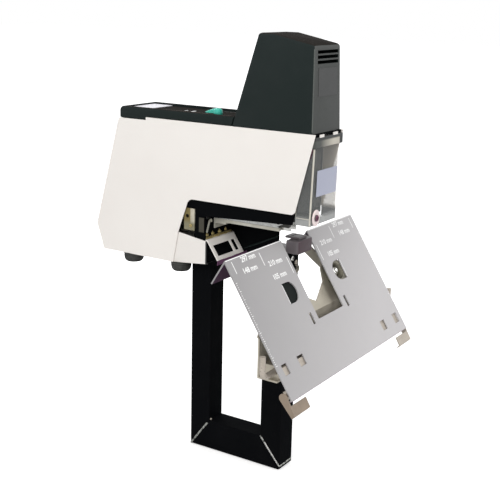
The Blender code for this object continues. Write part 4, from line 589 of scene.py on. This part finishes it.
def capped(rings):
    # Closes a stack of equal rings with a fan at each end: the rings go up and each runs anticlockwise.
    count, turns = rings.shape[:2]
    points = np.vstack([rings.reshape(-1, 3), rings[0].mean(0), rings[-1].mean(0)])
    turn = np.arange(turns)
    after = (turn + 1) % turns
    last = (count - 1) * turns
    low = np.stack([np.full(turns, count * turns), after, turn], -1)
    high = np.stack([np.full(turns, count * turns + 1), last + turn, last + after], -1)
    return points, facesBetween(count, turns) + low.tolist() + high.tolist()


def turned(profile, turns=48):
    # Lathe: point = (r cos a, r sin a, h) for each (r, h) of the profile.
    angle = np.arange(turns) * 2 * np.pi / turns
    radius, height = np.asarray(profile, float).T[..., None]
    return capped(np.stack([radius * np.cos(angle), radius * np.sin(angle), height + 0 * angle], -1))


def placed(points, origin, axisX, axisY, axisZ):
    # World point = origin + x * axisX + y * axisY + z * axisZ.
    return np.asarray(origin) + points @ np.array([axisX, axisY, axisZ], float)


def slabs(rects, low, high):
    # One closed box for each (u0, v0, u1, v1), between the heights low and high, all in one list.
    rects = np.asarray(rects, float)
    corners = rects[:, [[0, 1], [2, 1], [2, 3], [0, 3]]]
    shape = (len(rects), 4, 1)
    lids = [np.concatenate([corners, np.full(shape, level)], -1) for level in (low, high)]
    side = [[0, 3, 2, 1], [4, 5, 6, 7], [0, 1, 5, 4], [1, 2, 6, 5], [2, 3, 7, 6], [3, 0, 4, 7]]
    faces = np.array(side)[None] + 8 * np.arange(len(rects))[:, None, None]
    return np.concatenate(lids, 1).reshape(-1, 3), faces.reshape(-1, 4).tolist()


def band(path, width, low, high):
    # A flat bar along an open path in the plane: each path point is set off by half the width to both sides.
    path = np.asarray(path, float)
    ahead = np.gradient(path, axis=0)
    ahead /= np.linalg.norm(ahead, axis=1, keepdims=True)
    side = np.stack([-ahead[:, 1], ahead[:, 0]], -1) * width / 2
    outline = np.concatenate([path + side, (path - side)[::-1]])
    count = len(outline)
    points = np.concatenate([np.column_stack([outline, np.full(count, level)]) for level in (low, high)])
    turn = np.arange(count)
    after = (turn + 1) % count
    walls = np.stack([turn, after, after + count, turn + count], -1).tolist()
    lids = [[i, i + 1, count - 2 - i, count - 1 - i] for i in range(len(path) - 1)]
    return points, walls + lids + [[v + count for v in lid][::-1] for lid in lids]


steady = np.array([0.31, 0.17, 0.93])


def wire(path, radius, sides=12, closed=False):
    # A round wire: at each path point a ring of radius r in the plane across the path's direction there.
    path = np.asarray(path, float)
    ahead = np.roll(path, -1, 0) - np.roll(path, 1, 0)
    if not closed:
        ahead[0], ahead[-1] = path[1] - path[0], path[-1] - path[-2]
    ahead /= np.linalg.norm(ahead, axis=1, keepdims=True)
    side = np.cross(ahead, steady)
    side /= np.linalg.norm(side, axis=1, keepdims=True)
    above = np.cross(side, ahead)
    angle = (np.arange(sides) * 2 * np.pi / sides)[None, :, None]
    radius = np.broadcast_to(radius, len(path))[:, None, None]
    rings = path[:, None] + radius * (side[:, None] * np.cos(angle) - above[:, None] * np.sin(angle))
    if not closed:
        return capped(rings)
    faces = np.array(facesBetween(len(path) + 1, sides)) % (len(path) * sides)
    return rings.reshape(-1, 3), faces.tolist()


def along(start, end, steps, first=0.0, last=1.0):
    # Points from start to end, at even shares from first to last.
    share = np.linspace(first, last, steps)[:, None]
    return np.asarray(start) * (1 - share) + np.asarray(end) * share


def onSlope(points):
    # (x, distance below the ridge, lift off the face) to world, on the sloping table.
    return placed(points, place["ridge"], right, place["down"], place["out"])


# Force knob: a domed round grip with a sharp pointer

knob = {
    "spot": (-0.020, -0.0915, 0.1909), "height": 0.0092, "radius": 0.0061, "reach": 0.0195, "turns": 96,
    "wing": 0.31, "wingAngle": 0.36, "tipDrop": 0.0050, "dropFrom": 0.36, "dropOver": 0.64, "core": 0.55,
    # share of the height, share of the outline
    "rings": ((0.0, 1.0), (0.10, 0.98), (0.305, 0.94), (0.31, 0.97), (0.36, 0.97), (0.55, 0.92),
              (0.80, 0.85),
              (0.93, 0.70), (0.985, 0.45), (1.0, 0.15)),
}


def makeKnob():
    # Outline radius = r + (reach - r) exp(-(angle off the pointer / wing angle)^2); height falls toward the
    # tip. Rings lower than the wing stay round, so the pointer turns over the rim of the recess.
    angle = np.arange(knob["turns"]) * 2 * np.pi / knob["turns"]
    off = np.abs((angle - np.pi / 2 + np.pi) % (2 * np.pi) - np.pi)
    radius, reach = knob["radius"], knob["reach"]
    outline = radius + (reach - radius) * np.exp(-((off / knob["wingAngle"]) ** 2))
    share, width = np.array(knob["rings"]).T[..., None]
    extent = np.where(share < knob["wing"], radius, outline[None]) * width
    core = radius * knob["core"]
    beyond = np.clip((extent - core) / (reach - core), 0, 1)
    drop = knob["tipDrop"] * beyond * np.clip((share - knob["dropFrom"]) / knob["dropOver"], 0, 1)
    rings = np.stack([extent * np.cos(angle), extent * np.sin(angle), share * knob["height"] - drop], -1)
    points, faces = capped(rings)
    spot = placed(points, knob["spot"], right, rearward, upward)
    finePiece("forceKnob", spot, faces, "dial", "teal", node="force_dial")


makeKnob()

# Feet: short rubber cylinders with a moulded groove and a rounded tread

foot = {
    "x": 0.0225, "y": 0.039, "top": -0.0003, "radius": 0.0134, "tread": 0.0100,
    # share of the radius, height
    "side": ((1.0, 0.0), (1.0, -0.0022), (0.955, -0.0026), (0.955, -0.0032), (0.99, -0.0037),
             (0.975, -0.0062),
             (0.93, -0.0086), (0.85, -0.0104), (0.745, -0.0116)),
    # share of the tread, height
    "under": ((0.70, -0.0117), (0.62, -0.0108), (0.2, -0.0108)),
}


def makeFeet():
    profile = [(share * foot["radius"], height) for share, height in foot["side"]]
    profile += [(share * foot["tread"], height) for share, height in foot["under"]]
    points, faces = turned(profile[::-1])
    for front, y in (("front", -foot["y"]), ("rear", foot["y"])):
        for side, x in (("left", -foot["x"]), ("right", foot["x"])):
            spot = placed(points, (x, y, foot["top"]), right, rearward, upward)
            name = f"foot{front.title()}{side.title()}"
            finePiece(name, spot, faces, "machine", "rubber", node=f"foot_{front}_{side}")


makeFeet()
print("knob and feet made")


# Tube frame welds: a rippled bead round each mitred corner, and a nub where the rear one was struck

weld = {
    "half": 0.0150, "floor": -0.2555, "rise": 0.040, "sunk": 0.0006, "low": -0.2561, "sides": 12,
    "step": 0.0004,
    "radius": 0.0013, "even": 0.86, "ripple": 0.28, "pitch": 0.0024,
    # name: outer y, inner y, how far its foot is lifted
    "ends": {"front": (-0.191, -0.161, 0.0052), "rear": (-0.0507, -0.0807, 0.0006)},
    "shine": (-0.2475, -0.2225), "hidden": -0.2190,
    "chip": ((-0.0125, -0.0811, -0.2153), (-0.0105, -0.0811, -0.2138)), "chipRadius": 0.0015,
    "chipEven": 0.7, "chipSwell": 0.3, "chipSteps": 12,
}


def makeWelds():
    # Radius = r (0.86 + 0.28 |sin(pi s / pitch)|) along the mitre's four edges, s the way run; centre lies
    # sunk in the tube.
    sunk, step = weld["sunk"], weld["step"]
    for end, (outer, inner, lift) in weld["ends"].items():
        way = 1 if inner > outer else -1
        low = (outer + way * sunk, weld["floor"] + lift)
        high = (inner - way * sunk, weld["floor"] + weld["rise"] - sunk)
        half = weld["half"] - sunk
        corners = np.array([[-half, *low], [-half, *high], [half, *high], [half, *low]])
        path = []
        for start, stop in zip(corners, np.roll(corners, -1, 0)):
            steps = int(np.linalg.norm(stop - start) / step)
            path.append(start + (stop - start) * (np.arange(steps) / steps)[:, None])
        path = np.concatenate(path)
        wave = np.abs(np.sin(np.pi * np.arange(len(path)) * step / weld["pitch"]))
        radius = weld["radius"] * (weld["even"] + weld["ripple"] * wave)
        points, faces = wire(path, radius, weld["sides"], closed=True)
        points[:, 2] = np.maximum(points[:, 2], weld["low"])
        piece = finePiece(f"weldBead_{end}", points, faces, "machine", "weld",
                          node=f"weld_{end}")
        if end == "front":
            dull, top = weld["shine"]
            paint(piece, "weldShine", lambda spot, normal: (spot[:, 2] > dull) & (spot[:, 2] < top))
        else:
            paint(piece, "powder", lambda spot, normal: spot[:, 2] > weld["hidden"])
    path = along(*weld["chip"], weld["chipSteps"])
    swell = weld["chipEven"] + weld["chipSwell"] * np.sin(np.pi * np.linspace(0, 1, weld["chipSteps"]))
    points, faces = wire(path, weld["chipRadius"] * swell)
    finePiece("weldChip", points, faces, "machine", "beige")


makeWelds()

# Screws: a pan head with a cross recess, on the guard, the front upright and inside the throat

screws = {
    # name: origin, out of the face, radius, height, finish, slot
    "guardScrewHead": ((-0.0235, -0.23475, 0.0837), forward, 0.0038, 0.0022, "plumScrew", "dark_steel"),
    "clampScrewLeft": ((-0.019, -0.0826, 0.0342), forward, 0.0030, 0.0020, "yellow", "yellow_zinc"),
    "clampScrewMiddle": ((-0.004, -0.0826, 0.0342), forward, 0.0030, 0.0020, "yellow", "yellow_zinc"),
    "clampScrewRight": ((0.013, -0.0826, 0.0342), forward, 0.0030, 0.0020, "yellow", "yellow_zinc"),
    "uprightNutHigh": ((-0.0020, -0.1912, 0.0235), forward, 0.0034, 0.0022, "bright", "bright_steel"),
    "uprightNutMiddle": ((0.0080, -0.1912, 0.0166), forward, 0.0030, 0.0020, "beige", "bright_steel"),
    "uprightNutLow": ((0.0112, -0.1912, 0.0070), forward, 0.0026, 0.0018, "bright", "bright_steel"),
    "bracketScrew": ((-0.0328, -0.0610, 0.0515), left, 0.0022, 0.0012, "yellow", "yellow_zinc"),
}
screwShape = {
    "turns": 48, "cross": 0.15, "crossEnd": 0.63, "crossDepth": 0.55, "rim": (0.0, 0.45, 0.62),
    "rings": (1.0, 1.0, 0.97, 0.90, 0.78, 0.66, 0.60, 0.50, 0.40, 0.30, 0.20, 0.12, 0.05),
}


def screwHead(radius, height):
    # Height over the disc = h (1 - (r / R)^2 / 3), less the cross cut where |x| or |y| < 0.15 R, r < 0.63 R.
    share = np.array(screwShape["rings"])[:, None]
    angle = np.arange(screwShape["turns"]) * 2 * np.pi / screwShape["turns"]
    x, y = share * np.cos(angle), share * np.sin(angle)
    level = 1 - share ** 2 / 3 + 0 * x
    cross = (np.minimum(np.abs(x), np.abs(y)) < screwShape["cross"]) & (share < screwShape["crossEnd"])
    level = np.where(cross, level - screwShape["crossDepth"], level)
    level[:3] = np.array(screwShape["rim"])[:, None]
    return capped(np.stack([x * radius, y * radius, level * height], -1))


def makeScrews():
    for name, (origin, out, radius, height, look, slot) in screws.items():
        points, faces = screwHead(radius, height)
        spot = placed(points, origin, np.cross(upward, out), upward, out)
        finePiece(name, spot, faces, "machine", look, smooth=False)


makeScrews()

# Guard washer: an oval nylon ring, dished round the screw

washer = {
    "centre": (-0.0235, -0.2335, 0.0837), "across": 0.0082, "upright": 0.0099, "thick": 0.0014, "turns": 64,
    "profile": ((1.0, 0.0), (1.0, 0.55), (0.97, 0.85), (0.90, 1.0), (0.62, 0.95), (0.50, 0.60), (0.46, 0.55),
                (0.10, 0.55)),
}


def makeWasher():
    # Lathe of a dished ring, then x and z are scaled to the oval.
    points, faces = turned(washer["profile"], washer["turns"])
    points *= (washer["across"], washer["upright"], washer["thick"])
    spot = placed(points, washer["centre"], right, upward, forward)
    finePiece("guardWasherRing", spot, faces, "machine", "blush", node="guard_washer")


makeWasher()
print("welds, screws and washer made")

# Table prints: fold lines, an edge scale and the common sheet lengths, with a painted highlight along the
# ridge, all a tenth of a millimetre proud

prints = {
    "level": (0.00004, 0.00012), "line": 0.0011, "edge": 0.1503, "notch": 0.0325, "ridge": (0.0006, 0.0016),
    # distance from the middle, near and far ends
    "folds": ((0.1405, 0.004, 0.0185), (0.0845, 0.005, 0.0215), (0.0368, 0.0215, 0.0425)),
    "scale": {"near": 0.028, "count": 41, "pitch": 0.0025, "short": 0.0016, "long": 0.0030, "every": 4,
              "stroke": 0.0007},
    # number, distance from the middle, distance below the ridge
    "numbers": ((297, 0.108, 0.0085), (210, 0.062, 0.0245), (148, 0.114, 0.0215), (105, 0.066, 0.0410)),
    "digit": 0.0088, "unit": " mm", "heavier": 0.00022,
}


def makeLines():
    half, edge = prints["line"] / 2, prints["edge"]
    near, far = prints["ridge"]
    # the first two bars are a painted highlight along the ridge, on either side of the notch
    rects = [(-edge, near, -prints["notch"], far), (prints["notch"], near, edge, far)]
    for x, near, far in prints["folds"]:
        rects += [(side * x - half, near, side * x + half, far) for side in (-1, 1)]
    scale = prints["scale"]
    number = np.arange(scale["count"])
    dist = scale["near"] + number * scale["pitch"]
    length = np.where(number % scale["every"] == 0, scale["long"], scale["short"])
    stroke = scale["stroke"] / 2
    for side in (-1, 1):
        ends = np.sort(np.stack([side * edge + 0 * length, side * (edge - length)], -1), 1)
        rects += np.stack([ends[:, 0], dist - stroke, ends[:, 1], dist + stroke], -1).tolist()
    points, faces = slabs(rects, *prints["level"])
    finePiece("tableLines", onSlope(points), faces, "table", "ink", smooth=False)


def makeNumbers():
    low, high = prints["level"]
    for number, x, dist in prints["numbers"]:
        writing = bpy.data.curves.new("number", "FONT")
        writing.body = f"{number}{prints['unit']}"
        writing.offset = prints["heavier"]
        writing.size = prints["digit"]
        writing.align_x = "CENTER"
        writing.extrude = (high - low) / 2
        holder = bpy.data.objects.new("number", writing)
        flat = bpy.data.meshes.new_from_object(holder)
        faces = [list(polygon.vertices) for polygon in flat.polygons]
        points = arrayOf(flat.vertices, "co", 3) * (1, -1, 1)
        for side, name in ((-1, "Left"), (1, "Right")):
            spot = onSlope(points + (side * x, dist, (low + high) / 2))
            finePiece(f"number{number}{name}", spot, faces, "table", "ink", smooth=False)
        bpy.data.objects.remove(holder)


makeLines()
makeNumbers()

# Cover trims: two marks, the dial's outline and a painted highlight along the recess's rim

cover = {
    "floor": 0.1905, "top": 0.1935, "proud": (0.00003, 0.00012), "rimProud": (0.00003, 0.0001),
    "marks": ((-0.0035, -0.0305, 0.0030, -0.0285), (-0.0050, -0.0425, 0.0040, -0.0395)),
    "rim": ((-0.0301, -0.117, -0.0292, 0.045),),
    "outline": (-0.0255, -0.1150, 0.0255, -0.0660), "line": 0.0005,
}


def makeCoverTrims():
    west, near, east, far = cover["outline"]
    line = cover["line"]
    outline = ((west, near, east, near + line), (west, far - line, east, far),
               (west, near + line, west + line, far - line), (east - line, near + line, east, far - line))
    for name, rects, level, proud, look in (
        ("coverMarks", cover["marks"], cover["floor"], cover["proud"], "ink"),
        ("recessRimHighlight", cover["rim"], cover["top"], cover["rimProud"], "recessEdgeHighlight"),
        ("dialOutline", outline, cover["floor"], cover["proud"], "greyLine"),
    ):
        points, faces = slabs(rects, *(level + rise for rise in proud))
        finePiece(name, points, faces, "machine", look, smooth=False)


# Head trims: the tabs under the tower, its badge, a painted highlight down its front corner, and the
# plunger's return spring

head = {
    "tabs": ((-0.0240, -0.0145), (0.0085, 0.0188)), "tabHeight": (0.1780, 0.1813), "tabFront": -0.2361,
    "tabThick": 0.0012,
    "badge": (-0.0225, 0.2240, 0.0225, 0.2555), "badgeThick": (-0.0005, -0.00005),
    "face": -0.2315, "faceFoot": 0.1823, "faceLean": 0.0029 / 0.0993,
}
coil = {"wire": 0.0006, "turns": 6.5, "radius": 0.0097, "kept": 0.43, "steps": 260, "sides": 10}
towerHighlight = {"radius": 0.0007, "sunk": 0.00035, "front": -0.2275, "near": 0.004, "steps": 40,
            "share": (0.02, 0.985)}


def makeHeadTrims():
    low, high = head["tabHeight"]
    points, faces = slabs([(west, low, east, high) for west, east in head["tabs"]], 0, head["tabThick"])
    spot = placed(points, (0, head["tabFront"], 0), right, upward, rearward)
    finePiece("headTabs", spot, faces, "machine", "white", smooth=False)
    # The badge lies on the tower's front, which leans back by faceLean for each metre it rises.
    points, faces = slabs([head["badge"]], *head["badgeThick"])
    lean = (points[:, 1] - head["faceFoot"]) * head["faceLean"]
    points = np.stack([points[:, 0], head["face"] + lean + points[:, 2], points[:, 1]], -1)
    finePiece("frontBadge", points, faces, "machine", "badge", smooth=False)
    # The painted highlight runs between the corner's lowest and highest points, where x + y is least, a
    # little sunk.
    points = solidPoints("head_tower")[0]
    points = points[points[:, 1] < towerHighlight["front"]]
    ends = []
    for wanted in (points[:, 2].min(), points[:, 2].max()):
        near = points[np.abs(points[:, 2] - wanted) < towerHighlight["near"]]
        corner = near[np.argmin(near[:, 0] + near[:, 1])]
        ends.append(corner + (towerHighlight["sunk"], towerHighlight["sunk"], 0))
    points, faces = wire(along(*ends, towerHighlight["steps"], *towerHighlight["share"]), towerHighlight["radius"])
    finePiece("towerCornerHighlight", points, faces, "machine", "towerHighlight")


def makeCoil():
    # Coil: angle = 2 pi turns t and height = low + t (high - low), t from 0 to 1.
    points = solidPoints("return_spring")[0]
    low, high = points[:, 2].min(), points[:, 2].max()
    middleY = (points[:, 1].min() + points[:, 1].max()) / 2
    share = np.linspace(0, 1, coil["steps"])
    angle = 2 * np.pi * coil["turns"] * share
    height = low + coil["wire"] + share * (high - low - 2 * coil["wire"])
    path = np.stack([coil["radius"] * np.cos(angle), middleY + coil["radius"] * np.sin(angle), height], -1)
    points, faces = wire(path, coil["wire"], coil["sides"])
    spring = finePiece("returnCoil", points, faces, "machine", "bright",
                       node="return_spring")
    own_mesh(spring)


makeCoverTrims()
makeHeadTrims()
makeCoil()
print("prints, cover and head trims made")

# Throat: the magazine's hanger, the cheek plate on the arm's leg, plated nuts on the clamp bar, the strip
# folded under the apron's lower edge in painted plum shade, and a painted highlight along the throat shield

throat = {
    "hanger": ((-0.0172, 0.0565), (-0.0180, 0.0600), (-0.0212, 0.0588), (-0.0272, 0.0440)),
    "hangerSpot": (0, -0.0813, 0), "hangerWidth": 0.0026, "hangerThick": 0.0010,
    "cheek": (-0.0818, 0.0455, -0.0742, 0.0640), "cheekSpot": (-0.0331, 0, 0), "cheekThick": 0.0007,
    "lip": ((-0.1022, 0.0118), (-0.1030, 0.0104), (-0.1022, 0.0062)), "lipThick": 0.0009,
    "lipEnds": (-0.0330, 0.0345),
    "shieldHighlight": ((0.0353, -0.098, 0.0145), (0.0353, -0.125, 0.0265), (0.0353, -0.1485, 0.0375)),
    "shieldHighlightRadius": 0.0011,
}
nuts = {
    # centre x, height, radius
    "each": ((-0.0255, 0.0395, 0.0040), (-0.0120, 0.0392, 0.0032), (0.0035, 0.0390, 0.0036),
             (0.0175, 0.0392, 0.0030)),
    "y": -0.0788, "sides": (24, 6),
    # share of the radius, height: a chamfered top, the bolt's end proud in the middle
    "profile": ((0.96, 0), (1.0, 0.0004), (1.0, 0.0024), (0.86, 0.0029), (0.5, 0.0029), (0.5, 0.0042),
                (0.4, 0.0046)),
}


def makeThroat():
    points, faces = band(throat["hanger"], throat["hangerWidth"], 0, throat["hangerThick"])
    spot = placed(points, throat["hangerSpot"], right, upward, forward)
    finePiece("magazineHanger", spot, faces, "machine", "rail", smooth=False)
    points, faces = slabs([throat["cheek"]], 0, throat["cheekThick"])
    spot = placed(points, throat["cheekSpot"], rearward, upward, left)
    finePiece("armCheekPlate", spot, faces, "machine", "oliveSteel", smooth=False)
    for number, (x, z, radius) in enumerate(nuts["each"]):
        profile = [(share * radius, height) for share, height in nuts["profile"]]
        points, faces = turned(profile, nuts["sides"][number % 2])
        spot = placed(points, (x, nuts["y"], z), right, rearward, upward)
        name = f"clampNut{number + 1}"
        finePiece(name, spot, faces, "machine", "yellow", smooth=False)
    # painted shade: the strip's plum colour stands in for the shade under the apron's edge
    points, faces = band(throat["lip"], throat["lipThick"], *throat["lipEnds"])
    spot = placed(points, (0, 0, 0), rearward, upward, right)
    finePiece("panLip", spot, faces, "machine", "plumShadeStrip", smooth=False)
    # painted highlight: a thin wire along an edge line of the throat shield
    points, faces = wire(throat["shieldHighlight"], throat["shieldHighlightRadius"])
    finePiece("shieldEdgeHighlight", points, faces, "machine", "shieldHighlightTone")


# Guard: a painted highlight down the rounded corner of the moulding, the line across its cheek and the slot
# near its top

guardTrim = {
    "low": (-0.0317, -0.2303, 0.0746), "high": (-0.0297, -0.2320, 0.1648), "radius": 0.0011,
    "steps": 48, "sides": 14,
    "cheekLine": (-0.2300, 0.0822, -0.2125, 0.0832), "cheekSpot": (-0.03262, 0, 0), "proud": 0.0002,
    "slot": ((-0.2300, 0.1652), (-0.2272, 0.1542)), "slotSpot": (-0.0311, 0, 0), "slotWidth": 0.0030,
    "slotThick": 0.0004,
}


def makeGuardTrim():
    # painted highlight: a cream wire down the guard's front corner
    path = along(guardTrim["low"], guardTrim["high"], guardTrim["steps"])
    points, faces = wire(path, guardTrim["radius"], guardTrim["sides"])
    finePiece("guardCornerHighlight", points, faces, "guard", "guardRim")
    points, faces = slabs([guardTrim["cheekLine"]], 0, guardTrim["proud"])
    spot = placed(points, guardTrim["cheekSpot"], rearward, upward, left)
    finePiece("guardCheekLine", spot, faces, "guard", "guardRim", smooth=False)
    points, faces = band(guardTrim["slot"], guardTrim["slotWidth"], 0, guardTrim["slotThick"])
    spot = placed(points, guardTrim["slotSpot"], rearward, upward, left)
    finePiece("guardSlotLining", spot, faces, "guard", "plumScrew", smooth=False)


# Table windows: a painted highlight beside each D-shaped window's cut edge, and the plated cup washer under
# the right one

window = {
    "edge": 0.0713, "near": 0.0500, "far": 0.0735, "line": 0.0009,
    "cup": (0.0640, 0.0600, -0.0085), "cupRadius": 0.0052,
    # share of the radius, height
    "profile": ((0.30, 0), (1.0, 0), (1.0, 0.0008), (0.88, 0.0016), (0.62, 0.0016), (0.50, 0.0009),
                (0.42, 0.0003)),
}


def makeWindows():
    half, edge = window["line"] / 2, window["edge"]
    # painted highlight: a white stroke beside each window's cut edge
    rects = [(side * edge - half, window["near"], side * edge + half, window["far"]) for side in (-1, 1)]
    points, faces = slabs(rects, *prints["level"])
    finePiece("windowEdgeHighlights", onSlope(points), faces, "table", "ink", smooth=False)
    points, faces = turned([(share * window["cupRadius"], height) for share, height in window["profile"]])
    spot = onSlope(points + window["cup"])
    finePiece("bufferCupWasher", spot, faces, "table", "bright")


makeThroat()
makeGuardTrim()
makeWindows()
print("throat, guard trims and windows made")
